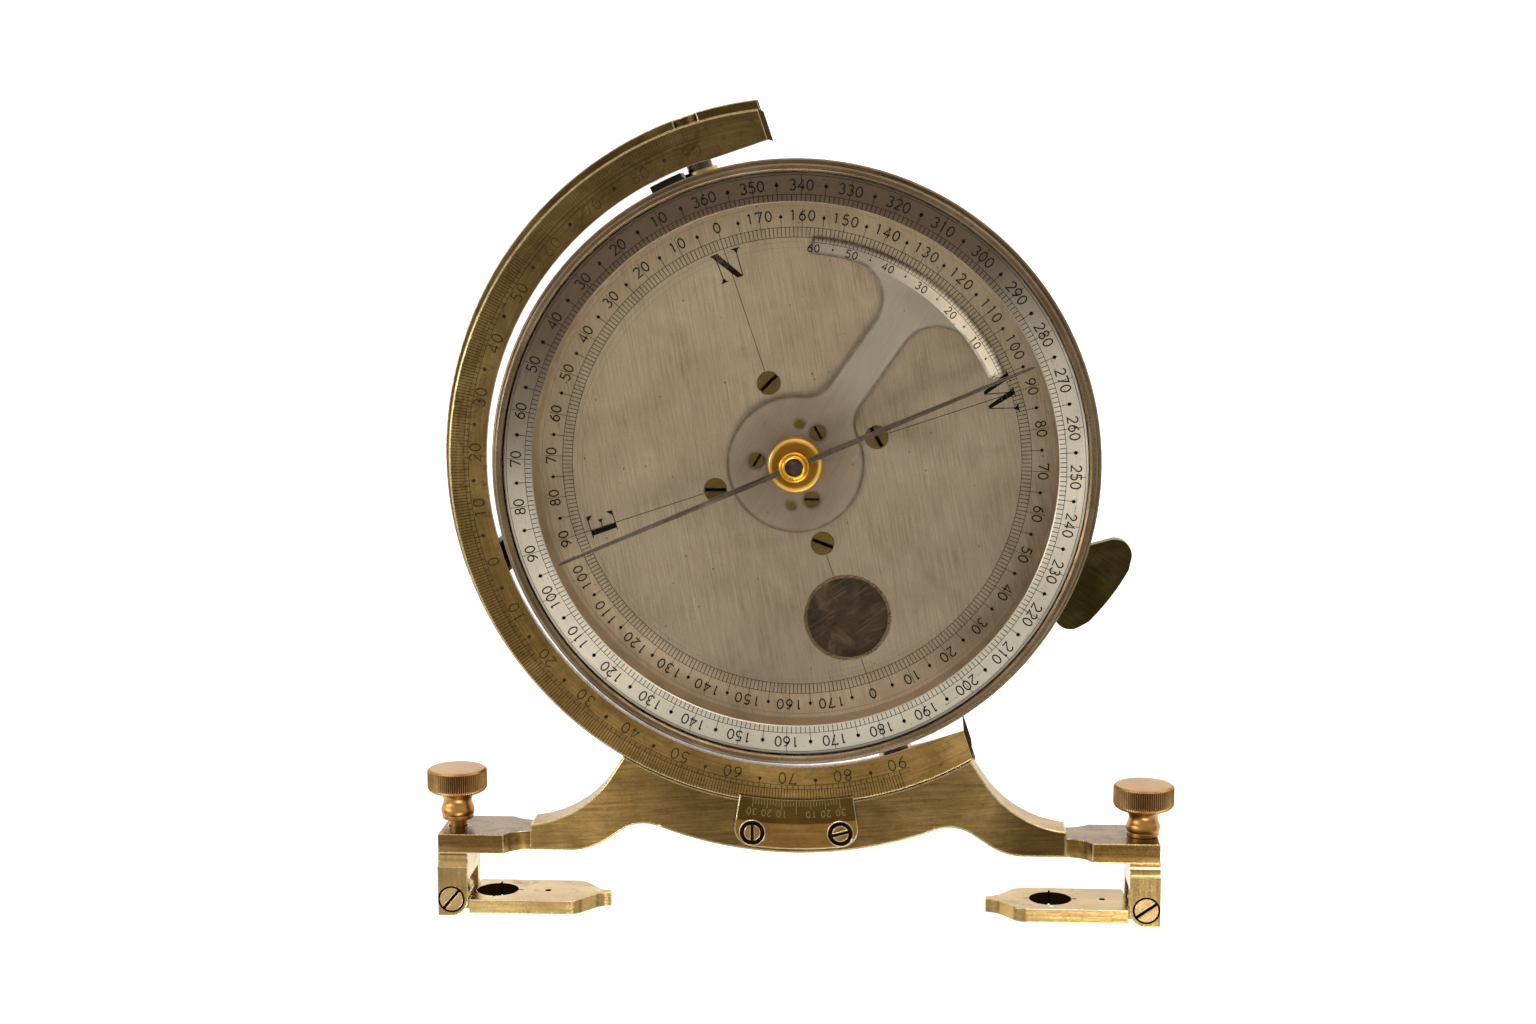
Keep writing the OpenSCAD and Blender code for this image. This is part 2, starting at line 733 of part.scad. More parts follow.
module wing_screw() {
    z_wing = pinch_len - wing_len;
    color("#5d5230") pinch_place() {
        translate([0, 0, -lug_half]) cylinder(r = pinch_shank_r, h = z_wing + lug_half);
        translate([0, 0, lug_half + slide_gap]) cylinder(r = pinch_shank_r + 1.4, h = 2);
        translate([0, 0, z_wing - 2]) cylinder(r = 2.6, h = 5);
        translate([0, -wing_t / 2, z_wing]) rotate([0, -90, -90]) linear_extrude(wing_t) wing_plan();
    }
}

module trunnion_collar() {
    difference() {
        trunnion_rod(collar_r, collar_seat, collar_out);
        trunnion_rod(trunnion_r + set_gap, collar_seat - 1, collar_out + 1);
    }
}

module trunnion_collars() {
    color("#b08a45") toward_north() trunnion_collar();
    color("#b08a45") toward_south() trunnion_collar();
}

module trunnion_pin() {
    out = limb_ro - trunnion_sink;
    difference() {
        trunnion_rod(trunnion_r, trunnion_boss_in, out);
        translate([out - 0.8, -trunnion_r - 1, z_trunnion - 0.5]) cube([2, 2 * trunnion_r + 2, 1]);
    }
}

module trunnion_pin_north() {
    color("#55585c") toward_north() trunnion_pin();
}

module trunnion_pin_south() {
    color("#55585c") toward_south() trunnion_pin();
}

// A block on the box wall at angle a from north, in the gap inside the limb
module wall_block(a, w, z0, z1) {
    difference() {
        intersection() {
            toward_north() rotate([0, 0, a]) translate([box_r - 3, -w / 2, z0]) cube([20, w, z1 - z0]);
            translate([0, 0, z0]) cylinder(r = lug_out, h = z1 - z0);
        }
        translate([0, 0, z0 - 1]) cylinder(r = box_r + set_gap, h = z1 - z0 + 2);
    }
}

// Bracket on the east side of the box that the folded limb rests on
module rest_lug() {
    z_foot = z_limb - pass_gap - foot_t;
    color("#2e2a24") difference() {
        union() {
            wall_block(90, lug_w, z_foot, z_trunnion + lug_up);
            toward_north() rotate([0, 0, 90]) translate([lug_out - 1, -lug_w / 2, z_foot])
                cube([foot_end - lug_out + 1, lug_w, foot_t]);
        }
        at_lug_screws() csk_hole(lug_head_r, lug_shank_r, lug_screw_len);
    }
}

module stop_lug() {
    color("#2e2a24") difference() {
        wall_block(stop_a, stop_w, z_trunnion - lug_up, z_trunnion + lug_up);
        at_lug_screws() csk_hole(lug_head_r, lug_shank_r, lug_screw_len);
    }
}

module lug_screws() {
    color("#4a4438") at_lug_screws()
        csk_screw(lug_head_r, lug_shank_r, lug_screw_len, 30, 0.5, 0.4);
}

// C-shaped limb: a turned ring with a rail round its back half, opened on the west side
module limb() {
    edge = 0.35;
    channel = sqrt(limb_ri * limb_ri - 25);
    color("#75602f") difference() {
        rotate_extrude() polygon([
            [limb_ri, z_limb], [limb_ro - edge, z_limb], [limb_ro, z_limb + edge],
            [limb_ro, z_rail - rail_t], [rail_ro, z_rail - rail_t], [rail_ro, z_rail],
            [limb_ro, z_rail], [limb_ro, z_face - edge], [limb_ro - edge, z_face],
            [limb_ri, z_face]
        ]);
        toward_north() {
            translate([-channel, -big, z_limb - 1]) cube([2 * channel, big, limb_depth + 2]);
            translate([-big, -big - limb_past, z_limb - 1]) cube([2 * big, big, limb_depth + 2]);
            trunnion_rod(trunnion_r + run_gap, limb_ri - 3, rail_ro + 3);
        }
        toward_south() trunnion_rod(trunnion_r + run_gap, limb_ri - 3, rail_ro + 3);
    }
}

// Right half of the frame's plan: saddle, dip, rounded bump and straight end
module frame_half() {
    end = polar(limb_ro, 270 + saddle_half_a);
    lap = 2;
    lean = atan2(bump[1] - dip[1], bump[0] - dip[0]);
    turn = lean + acos((bump_r + dip_r) / norm(bump - dip));
    to_end = end - scoop;
    meet = atan2(to_end[1], to_end[0]) + acos(scoop_r / norm(to_end));
    difference() {
        union() {
            polygon([
                [-1, -limb_ri], frame_ro * dip / dip_d, dip, dip + polar(dip_r, turn),
                bump - polar(bump_r, turn), [bump[0], -frame_low], [arm_joint_x, -frame_low],
                [arm_joint_x, scoop[1]], scoop, scoop + polar(scoop_r, meet), end
            ]);
            intersection() {
                translate(bump) circle(r = bump_r);
                polygon([
                    bump - 3 * polar(bump_r, turn), bump + [lap, -2 * bump_r], bump + [lap, 2 * lap]
                ]);
            }
            intersection() {
                circle(r = frame_ro);
                polygon([[-1, 0], [-1, -big], 2 * frame_ro * dip / dip_d]);
            }
        }
        translate(dip) circle(r = dip_r);
        translate(scoop) circle(r = scoop_r);
    }
}

module sight_frame() {
    color("#6f5528") difference() {
        translate([0, 0, z_frame]) linear_extrude(frame_t) {
            frame_half();
            mirror([1, 0]) frame_half();
        }
        translate([0, 0, z_frame - 1]) cylinder(r = frame_ri, h = frame_t + 2);
        for (s = [0, 1]) mirror([s, 0, 0]) arm_tenon();
        at_keeper_screws() csk_hole(keeper_head_r, keeper_shank_r, keeper_screw_len);
        at_limb_vernier_screws() cylinder(r = limb_vern_shank_r + set_gap, h = 8, center = true);
    }
}

// Retaining piece screwed behind the frame, hooked under the limb's rail
module keeper() {
    hook = z_rail - rail_t - slide_gap;
    color("#5f4a26") difference() {
        intersection() {
            rotate_extrude() polygon([
                [limb_ro + pass_gap, z_keeper], [keeper_out, z_keeper], [keeper_out, z_frame],
                [rail_ro + slide_gap, z_frame], [rail_ro + slide_gap, hook],
                [limb_ro + pass_gap, hook]
            ]);
            translate([0, 0, z_keeper - 1]) linear_extrude(z_frame - z_keeper + 2)
                lower_sector(keeper_half_a);
        }
        at_keeper_screws() csk_hole(keeper_head_r, keeper_shank_r, keeper_screw_len);
    }
}

module keeper_screws() {
    color("#6b5c34") at_keeper_screws()
        csk_screw(keeper_head_r, keeper_shank_r, keeper_screw_len, 15);
}

// Places something at the seats of the limb vernier's two screws
module at_limb_vernier_screws() {
    for (s = [0, 1]) mirror([s, 0, 0])
        translate([limb_vern_screw[0], limb_vern_screw[1], z_face + limb_vern_t - limb_vern_sink])
            children();
}

// Vernier plate on the frame, its bevelled edge reaching over the limb's scale
module limb_vernier() {
    corner_r = 4.5;
    corner_x = limb_vern_w - corner_r - 0.2;
    corner = [corner_x, -sqrt(pow(limb_vern_ro - corner_r, 2) - corner_x * corner_x)];
    top = 5 - limb_vern_ri;
    lean = 9;
    low = corner + polar(corner_r, lean);
    right = concat(
        [[low[0] - (top - low[1]) * tan(lean), top]],
        arc(corner, corner_r, lean, atan2(corner[1], corner[0]), 10),
        [1.2 * corner]
    );
    color("#a08c6c") difference() {
        intersection() {
            translate([0, 0, z_face]) linear_extrude(limb_vern_t) intersection() {
                polygon(concat(right, [for (i = [len(right) - 1:-1:0]) [-right[i][0], right[i][1]]]));
                circle(r = limb_vern_ro);
            }
            rotate_extrude() polygon([
                [limb_vern_ri, z_face + slide_gap], [limb_ro + pass_gap, z_face + slide_gap],
                [limb_ro + pass_gap, z_face], [big, z_face], [big, z_face + limb_vern_t],
                [limb_vern_ri + 6, z_face + limb_vern_t], [limb_vern_ri, z_face + 0.45]
            ]);
        }
        at_limb_vernier_screws() {
            cylinder(r = limb_vern_shank_r + set_gap, h = 8, center = true);
            cylinder(r = limb_vern_head_r + 0.85, h = limb_vern_sink + 1);
        }
    }
}

module limb_vernier_screws() {
    slots = [90, 15];
    color("#6b5c34") for (i = [0, 1]) mirror([i == 0 ? 1 : 0, 0, 0])
        translate([limb_vern_screw[0], limb_vern_screw[1], z_face + limb_vern_t - limb_vern_sink])
            cheese_screw(limb_vern_head_r, 0.95, limb_vern_shank_r, 3.9, slots[i]);
}

// Tongue by which an arm is let into the end of the frame
module arm_tenon() {
    translate([arm_joint_x - tenon_l, arm_y + (arm_t - tenon_w) / 2, z_face - frame_t / 2 - tenon_h / 2])
        cube([tenon_l + eps, tenon_w, tenon_h]);
}

// Right arm: flared neck and end block, grooved below for the bracket's key
module arm() {
    front_r = flare_r(neck_l, block_front - z_face);
    back_r = flare_r(neck_l, neck_back - block_back);
    difference() {
        translate([0, arm_y + arm_t, 0]) rotate([90, 0, 0]) linear_extrude(arm_t) difference() {
            translate([arm_joint_x, block_back]) square([arm_end_x - arm_joint_x, arm_depth]);
            translate([arm_joint_x, z_face + front_r]) circle(r = front_r);
            translate([arm_joint_x, neck_back - back_r]) circle(r = back_r);
        }
        bracket_key(eps);
        thumb_place(arm_y - 1) cylinder(r = stem_r + pass_gap, h = arm_t + 2);
    }
    arm_tenon();
}

module arm_left() {
    color("#6a5128") mirror([1, 0, 0]) arm();
}

module arm_right() {
    color("#6a5128") arm();
}

// Places something at height y on the right thumb screw's axis, +Z towards the centre line
module thumb_place(y) {
    translate([thumb_x, y, z_arm]) rotate([-90, 0, 0]) children();
}

// Key on top of the bracket, and the groove for it
module bracket_key(extra) {
    translate([bracket_in, arm_y - extra, z_arm - key_w / 2]) cube([bracket_w, key_h + extra, key_w]);
}

// Right bracket: forked below for the vane, coved across its front
module bracket() {
    cove = 3.6;
    cove_r = flare_r(cove / 2, 1);
    difference() {
        union() {
            translate([0, 0, block_back]) linear_extrude(arm_depth) {
                polygon([
                    [bracket_in, arm_y], [bracket_out, arm_y], [bracket_out, hinge_y - ear_r],
                    [hinge_x, hinge_y - ear_r], [hinge_x, hinge_y], [bracket_in, hinge_y]
                ]);
                intersection() {
                    translate([hinge_x, hinge_y]) circle(r = ear_r);
                    translate([bracket_in - 1, hinge_y - big]) square([bracket_w + 1, 2 * big]);
                }
            }
            bracket_key(eps);
        }
        translate([bracket_in - 1, hinge_y - ear_r - 1, block_back + ear_t])
            cube([bracket_w + 2, slot_top - hinge_y + ear_r + 1, arm_depth - 2 * ear_t]);
        translate([bracket_in - 1, arm_y - cove / 2 - 0.1, block_front + cove_r - 1]) rotate([0, 90, 0])
            cylinder(r = cove_r, h = bracket_w + 2);
        thumb_place(arm_y + arm_t - stem_len - 0.2) cylinder(r = stem_r + run_gap, h = stem_len);
        translate([hinge_x, hinge_y, block_back - 1]) cylinder(r = hinge_shank_r + set_gap, h = arm_depth);
        translate([hinge_x, hinge_y, block_front - hinge_sink])
            cylinder(r = hinge_head_d / 2 + set_gap, h = hinge_sink + 1);
    }
}

module bracket_left() {
    color("#6a5128") mirror([1, 0, 0]) bracket();
}

module bracket_right() {
    color("#6a5128") bracket();
}

module hinge_screw(slot_a) {
    translate([hinge_x, hinge_y, block_front - hinge_sink])
        cheese_screw(hinge_head_d / 2, hinge_sink, hinge_shank_r, arm_depth - hinge_sink, slot_a);
}

module hinge_screw_left() {
    color("#4d4a44") mirror([1, 0, 0]) hinge_screw(130);
}

module hinge_screw_right() {
    color("#4d4a44") hinge_screw(35);
}

// Right vane, folded inwards; the window and the peep hole change places between the two
module vane(window_at, peep_at) {
    half = arm_depth / 2;
    knuckle = half - ear_t - slide_gap;
    taper_r = 0.85 * flare_r((vane_len - vane_shoulder) / 2, (half - vane_tip_w / 2) / 2);
    crown = [-vane_shoulder, half - taper_r];
    hollow = [-vane_len, vane_tip_w / 2 + taper_r];
    span = hollow - crown;
    turn = atan2(span[1], span[0]) - acos(2 * taper_r / norm(span));
    difference() {
        union() {
            translate([hinge_x, hinge_y, z_arm]) rotate([90, 0, 0]) linear_extrude(vane_t) difference() {
                union() {
                    translate([-vane_shoulder, -half]) square([vane_shoulder - vane_start, arm_depth]);
                    translate([-vane_start - 1, -knuckle]) square([vane_start + 1, 2 * knuckle]);
                    for (s = [0, 1]) mirror([0, s]) {
                        polygon([
                            [-vane_shoulder - 1, -1], [1 - vane_shoulder, -1], [1 - vane_shoulder, half],
                            [-vane_shoulder, half], crown, crown + polar(taper_r, turn),
                            hollow - polar(taper_r, turn), hollow, [-vane_len, -0.5]
                        ]);
                        translate(crown) circle(r = taper_r);
                    }
                }
                for (s = [0, 1]) mirror([0, s]) translate(hollow) circle(r = taper_r);
                translate([-peep_at, 0]) circle(d = peep_d);
                translate([-window_at, 0]) {
                    circle(d = window_d);
                    for (a = [0, 90]) rotate(a)
                        square([window_d + 2 * notch_l, notch_w], center = true);
                }
            }
            translate([hinge_x, hinge_y, z_arm - knuckle]) cylinder(r = vane_t, h = 2 * knuckle);
        }
        translate([hinge_x, hinge_y, z_arm - half]) cylinder(r = hinge_shank_r + run_gap, h = arm_depth);
    }
}

module vane_left() {
    color("#7a6234") mirror([1, 0, 0]) vane(sight_near, sight_far);
}

module vane_right() {
    color("#7a6234") vane(sight_far, sight_near);
}

// Thumb screw: knurled head with a rounded underside, waisted and swelling neck on a foot, plain stem
module thumb_screw() {
    h = thumb_h;
    r = thumb_head_d / 2;
    under = thumb_h - thumb_head_h;
    swell = [1.67, 2.2];
    waist = [5.75, 4.6];
    join_a = atan2(waist[1] - swell[1], waist[0] - swell[0]);
    neck = concat(
        [[3.9, 0], [4, 0.1], [4, 0.95], [3.92, 1.08]],
        arc(swell, 2.6, -22, join_a, 8), arc(waist, 2.1, 180 + join_a, 96, 12),
        [[r - 1, 7], [r - 0.42, 7.45], [r - 0.06, 8]]
    );
    rotate_extrude() polygon(concat(
        [[0, -stem_len], [stem_r, -stem_len], [stem_r, 0]],
        [for (p = neck) [p[0], p[1] * under / 8.4]],
        [[r, under], [r, h - 0.6], [r - 0.6, h], [0, h]]
    ));
}

module thumb_screw_left() {
    color("#4b4131") mirror([1, 0, 0]) thumb_place(arm_y + arm_t + thumb_slack) thumb_screw();
}

module thumb_screw_right() {
    color("#4b4131") thumb_place(arm_y + arm_t) thumb_screw();
}

tripod_socket();
spindle();
vernier_plate();
vernier_screws();
vernier_pins();
pivot_seat();
pivot_pin();
needle();
needle_cap();
cap_jewel();
compass_box();
dial_plate();
dial_screws();
degree_ring();
bezel();
cover_glass();
level_cup();
level_fluid();
level_glass();
clamp_collar();
collar_screws();
trunnion_collars();
trunnion_pin_north();
trunnion_pin_south();
rest_lug();
stop_lug();
lug_screws();
wing_screw();
limb();
sight_frame();
keeper();
keeper_screws();
limb_vernier();
limb_vernier_screws();
arm_left();
arm_right();
bracket_left();
bracket_right();
hinge_screw_left();
hinge_screw_right();
vane_left();
vane_right();
thumb_screw_left();
thumb_screw_right();
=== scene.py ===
import bpy
import math
from mathutils import Matrix, Vector


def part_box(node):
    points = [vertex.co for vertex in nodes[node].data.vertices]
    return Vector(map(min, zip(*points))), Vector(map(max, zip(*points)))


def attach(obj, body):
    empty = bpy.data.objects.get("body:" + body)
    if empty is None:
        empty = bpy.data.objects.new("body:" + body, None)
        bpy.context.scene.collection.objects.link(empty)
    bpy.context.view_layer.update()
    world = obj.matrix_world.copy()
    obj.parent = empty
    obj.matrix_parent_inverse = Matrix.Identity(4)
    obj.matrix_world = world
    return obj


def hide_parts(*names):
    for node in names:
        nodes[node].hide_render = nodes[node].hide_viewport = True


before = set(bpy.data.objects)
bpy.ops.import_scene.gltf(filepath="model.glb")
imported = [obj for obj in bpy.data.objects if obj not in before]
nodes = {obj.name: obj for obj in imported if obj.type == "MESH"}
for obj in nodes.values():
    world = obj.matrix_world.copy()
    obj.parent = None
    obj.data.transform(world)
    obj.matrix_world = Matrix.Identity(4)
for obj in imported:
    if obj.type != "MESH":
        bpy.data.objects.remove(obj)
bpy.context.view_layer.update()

MM = 0.001
# The box's four points, in degrees anticlockwise from +X, and the heights of the engraved faces, mm
NORTH, EAST, SOUTH, WEST = 108.4, 198.4, 288.4, 18.4
Z_RING, Z_DIAL, Z_FACE = 66.0, 57.0, 56.0
# The sights, mm: where their windows and peep holes lie, the holes' radii, and the vanes' front
NEAR_X, FAR_X, SIGHT_Z, VANE_FRONT = 63.8, 76.8, 51.35, 60.15
WINDOW_R, PEEP_R, NOTCH_REACH, NOTCH_HALF = 5.36, 0.86, 6.72, 0.28
# Screws, mm: the hinge screws, the limb vernier's screws in their counterbores, and the thumb screws
HINGE_X, HINGE_Y, HINGE_R, HINGE_SLOT_Z = 87.1, -110.9, 3.16, 60.12
VERNIER_SCREW_X, VERNIER_SCREW_Y, VERNIER_BORE_R, VERNIER_BORE_Z = 11.05, -93.2, 3.2, 57.4
THUMB_X = 86.7
# Radii, mm: the inner vernier's bevel, the limb's inner wall and the limb vernier's flat
BEVEL_R, LIMB_WALL_R, FLAT_R = 51.2, 76.68, 90.9
# The limb past its trunnions, mm: half the gap between its ends, and how far they reach
GAP_HALF, LIMB_END = 76.5, 18.34


# New objects
def new_object(name, data):
    obj = bpy.data.objects.new(name, data)
    bpy.context.scene.collection.objects.link(obj)
    return obj


def new_mesh(name, verts, faces, *materials):
    """A mesh from points in metres."""
    mesh = bpy.data.meshes.new(name)
    mesh.from_pydata(verts, [], faces)
    mesh.validate()
    for material in materials:
        mesh.materials.append(material)
    return mesh


# Camera
cam_data = bpy.data.cameras.new("camera")
cam_data.lens = 54.45
cam_data.sensor_width = 36.0
camera = new_object("camera", cam_data)
CAMERA_PLACE = (0.02920, 0.06888, 0.62109)
CAMERA_TURN = ((0.99799, -0.006018, 0.06314),
               (-0.002996, 0.98990, 0.141706),
               (-0.06336, -0.14161, 0.98789))
camera.matrix_world = Matrix.Translation(CAMERA_PLACE) @ Matrix(CAMERA_TURN).to_4x4()
bpy.context.scene.camera = camera
bpy.context.scene.view_settings.view_transform = "Standard"


# Node helpers
class Shade:
    """A material with one Principled shader, fed by procedural nodes in object coordinates, in mm."""

    def __init__(self, name):
        self.mat = bpy.data.materials.new(name)
        self.mat.use_nodes = True
        self.tree = self.mat.node_tree
        self.tree.nodes.clear()
        self.out = self.add("OutputMaterial")
        self.bsdf = self.add("BsdfPrincipled")
        self.tree.links.new(self.bsdf.outputs[0], self.out.inputs[0])
        self.mm = self.vec("MULTIPLY", self.add("TexCoord").outputs["Object"], (1000, 1000, 1000))

    def radius(self):
        """Distance from the upright axis through the origin, mm."""
        return self.vec("LENGTH", self.vec("MULTIPLY", self.mm, (1.0, 1.0, 0.0)))

    def times(self, a, b):
        """One colour multiplied by another."""
        return self.mix(1.0, a, b, "MULTIPLY")

    def add(self, kind):
        return self.tree.nodes.new("ShaderNode" + kind)

    def put(self, node, key, value):
        if isinstance(value, bpy.types.NodeSocket):
            self.tree.links.new(value, node.inputs[key])
        else:
            node.inputs[key].default_value = value

    def set(self, **values):
        for key, value in values.items():
            if isinstance(value, tuple) and len(value) == 3:
                value = (*value, 1)
            self.put(self.bsdf, key.replace("_", " "), value)

    def math(self, op, a, b=0.0):
        node = self.add("Math")
        node.operation = op
        self.put(node, 0, a)
        self.put(node, 1, b)
        return node.outputs[0]

    def vec(self, op, a, b=None):
        node = self.add("VectorMath")
        node.operation = op
        self.put(node, 0, a)
        if b is not None:
            self.put(node, 1, b)
        return node.outputs["Value" if op in ("LENGTH", "DOT_PRODUCT") else "Vector"]

    def split(self, vector):
        node = self.add("SeparateXYZ")
        self.put(node, 0, vector)
        return node.outputs[0], node.outputs[1], node.outputs[2]

    def join(self, x, y, z):
        node = self.add("CombineXYZ")
        for i, value in enumerate((x, y, z)):
            self.put(node, i, value)
        return node.outputs[0]

    def mix(self, fac, a, b, blend="MIX"):
        node = self.add("Mix")
        node.data_type = "RGBA"
        node.blend_type = blend
        self.put(node, 0, fac)
        for key, value in ((6, a), (7, b)):
            self.put(node, key, (*value, 1) if isinstance(value, tuple) else value)
        return node.outputs[2]

    def fit(self, value, a, b, c=0.0, d=1.0, smooth=False):
        """The value, brought from the range a to b into the range c to d."""
        node = self.add("MapRange")
        node.interpolation_type = "SMOOTHSTEP" if smooth else "LINEAR"
        for i, x in enumerate((value, a, b, c, d)):
            self.put(node, i, x)
        return node.outputs[0]

    def noise(self, vector, scale, detail=3.0, rough=0.5, bend=0.0):
        node = self.add("TexNoise")
        self.put(node, "Vector", vector)
        values = {"Scale": scale, "Detail": detail, "Roughness": rough, "Distortion": bend}
        for key, value in values.items():
            self.put(node, key, value)
        return node.outputs[0]

    def ramp(self, fac, *stops):
        """A colour ramp through stops of place and colour."""
        node = self.add("ValToRGB")
        while len(node.color_ramp.elements) < len(stops):
            node.color_ramp.elements.new(0.5)
        for element, (at, colour) in zip(node.color_ramp.elements, stops):
            element.position = at
            element.color = (*colour, 1)
        self.put(node, 0, fac)
        return node.outputs[0]

    def bump(self, height, strength, distance, normal=None):
        """A bumped normal, with the distance in mm."""
        node = self.add("Bump")
        self.put(node, "Strength", strength)
        self.put(node, "Distance", distance * MM)
        self.put(node, "Height", height)
        if normal is not None:
            self.put(node, "Normal", normal)
        return node.outputs[0]

    def round_edge(self, radius):
        """A softened normal, and how sharply the surface turns within that radius."""
        node = self.add("Bevel")
        node.samples = 4
        self.put(node, "Radius", radius * MM)
        flat = self.add("NewGeometry").outputs["Normal"]
        turn = self.math("SUBTRACT", 1.0, self.vec("DOT_PRODUCT", node.outputs[0], flat))
        return node.outputs[0], turn

    def grain(self, kind, pitch, angle=0.0):
        """Coordinates drawn out along the marks of the finish: straight strokes, or turned about +Z."""
        x, y, z = self.split(self.mm)
        if kind == "turned":
            r = self.vec("LENGTH", self.join(x, y, 0.0))
            drift = self.math("MULTIPLY", self.math("ADD", x, y), 0.05)
            r = self.math("MULTIPLY", r, 1 / pitch)
            return self.join(r, self.math("MULTIPLY", z, 1 / pitch), drift)
        c, s = math.cos(math.radians(angle)), math.sin(math.radians(angle))
        across = self.vec("DOT_PRODUCT", self.mm, (-s / pitch, c / pitch, 0.0))
        along = self.vec("DOT_PRODUCT", self.mm, (c * 0.08, s * 0.08, 0.0))
        return self.join(across, along, self.math("MULTIPLY", z, 0.7 / pitch))


# Every metal's tones lean this much towards yellow with age
AGED = (1.03, 0.97, 0.85)


def metal(name, tones, rough, grain, streak, stain=None, stain_at=(0.56, 0.72), edge=None,
          edge_at=0.02, bevel=0.22, bump=0.25, pits=0.0, sheen=1.0, tint=None, late=None):
    """A worked metal: slow tone changes, tool marks, stains, edges of their own colour and pits.

    The tones run from dark to light. The grain is its kind, its pitch in mm and, where it is straight,
    its angle. stain_at gives where the stain's noise starts and is full. The edge colour lies where the
    surface turns by more than edge_at within bevel mm: a bright one is wear with a painted highlight,
    a dark one a painted shade line. tint(s, colour) changes the tone from place to place, painted light
    and shade among it, before the edges are coloured. late(s, colour, roughness) comes last, and
    returns both with a mask of matt grime and painted shade, or None where it adds none.
    """
    s = Shade(name)
    tones = [tuple(c * w for c, w in zip(tone, AGED)) for tone in tones]
    slow = s.noise(s.mm, 0.045, 4.0, 0.62, 0.6)
    colour = s.ramp(slow, (0.30, tones[0]), (0.52, tones[1]), (0.72, tones[2]))
    marks = s.noise(s.grain(*grain), 1.0, 4.0, 0.62)
    fine = s.noise(s.mm, 2.6, 4.0, 0.6)
    shade = s.fit(s.math("ADD", marks, s.math("MULTIPLY", fine, 0.5)), 0.5, 1.0, 1 - streak, 1 + streak)
    colour = s.times(colour, s.join(shade, shade, shade))
    roughness = s.fit(s.math("ADD", fine, marks), 0.6, 1.4, rough - 0.09, rough + 0.09)
    if stain:
        spot = s.noise(s.vec("ADD", s.mm, (31.0, 17.0, 5.0)), 0.16, 6.0, 0.68, 1.2)
        mask = s.fit(spot, stain_at[0], stain_at[1], 0.0, 1.0, True)
        colour = s.mix(mask, colour, s.mix(fine, stain, tones[0]))
        roughness = s.math("ADD", roughness, s.math("MULTIPLY", mask, 0.12))
    if tint:
        colour = tint(s, colour)
    if pits:
        cell = s.add("TexVoronoi")
        s.put(cell, "Vector", s.mm)
        s.put(cell, "Scale", 0.33)
        s.put(cell, "Randomness", 1.0)
        dot = s.fit(cell.outputs["Distance"], 0.045, 0.10, pits, 0.0, True)
        gate = s.fit(s.noise(s.vec("ADD", s.mm, (3.0, 9.0, 1.0)), 0.35, 2.0), 0.5, 0.6)
        colour = s.mix(s.math("MULTIPLY", dot, gate), colour, (0.03, 0.02, 0.012))
    normal, turn = s.round_edge(bevel)
    # Edge colour: wear with a painted highlight where bright, a painted shade line where dark
    if edge:
        worn = s.fit(turn, edge_at, edge_at + 0.07, 0.0, 1.0, True)
        chipped = s.fit(s.noise(s.mm, 0.5, 5.0, 0.7), 0.30, 0.52, 0.45, 1.0)
        worn = s.math("MULTIPLY", worn, chipped)
        colour = s.mix(worn, colour, edge)
        roughness = s.math("SUBTRACT", roughness, s.math("MULTIPLY", worn, 0.08))
    normal = s.bump(marks, bump, 0.02, normal)
    normal = s.bump(fine, bump * 0.12, 0.03, normal)
    metallic = sheen
    # The late mask: grime and painted shade, matt and less metallic
    if late:
        colour, roughness, dirt_and_shade = late(s, colour, roughness)
        if dirt_and_shade:
            metallic = s.math("SUBTRACT", 1.0, dirt_and_shade)
    s.set(Base_Color=colour, Metallic=metallic, Specular_IOR_Level=0.0, Roughness=roughness,
          Normal=normal)
    return s.mat


def ring_tint(s, colour):
    """Painted shade on the ring's north half, painted light on its south half; its inner wall brown-grey.
    """
    x, y, z = s.split(s.mm)
    wave = s.math("MULTIPLY", s.math("SUBTRACT", s.noise(s.mm, 0.03, 3.0), 0.5), 34.0)
    lean = s.math("ADD", s.math("ADD", s.math("MULTIPLY", y, -1.1), s.math("MULTIPLY", x, 0.3)), wave)
    # Painted light to the south and painted shade to the north; darker towards the southern foot
    bright = s.fit(lean, -58.0, 30.0, 0.0, 1.0, True)
    foot = s.fit(s.math("SUBTRACT", y, s.math("MULTIPLY", x, 0.35)), -25.0, -62.0, 1.0, 0.66, True)
    colour = s.times(colour, s.join(foot, foot, foot))
    colour = s.mix(bright, s.times(colour, (0.165, 0.128, 0.108)), colour)
    return s.mix(s.math("LESS_THAN", z, Z_RING - 0.08), colour, (0.66, 0.55, 0.42))


def vernier_tint(s, colour):
    """The inner vernier is darker round its hub, and its bevel has a painted reflection to the west."""
    x, _, _ = s.split(s.mm)
    r = s.radius()
    hub = s.fit(r, 10.0, 28.0, 1.0, 0.0, True)
    colour = s.mix(hub, colour, s.times(colour, (0.66, 0.60, 0.55)))
    # Painted reflection: the bevel brightened towards the west
    bevel = s.math("MULTIPLY", s.math("GREATER_THAN", r, BEVEL_R), s.fit(x, 16.0, 44.0, 0.0, 1.0, True))
    return s.mix(bevel, colour, s.times(colour, (2.75, 2.85, 2.8)))


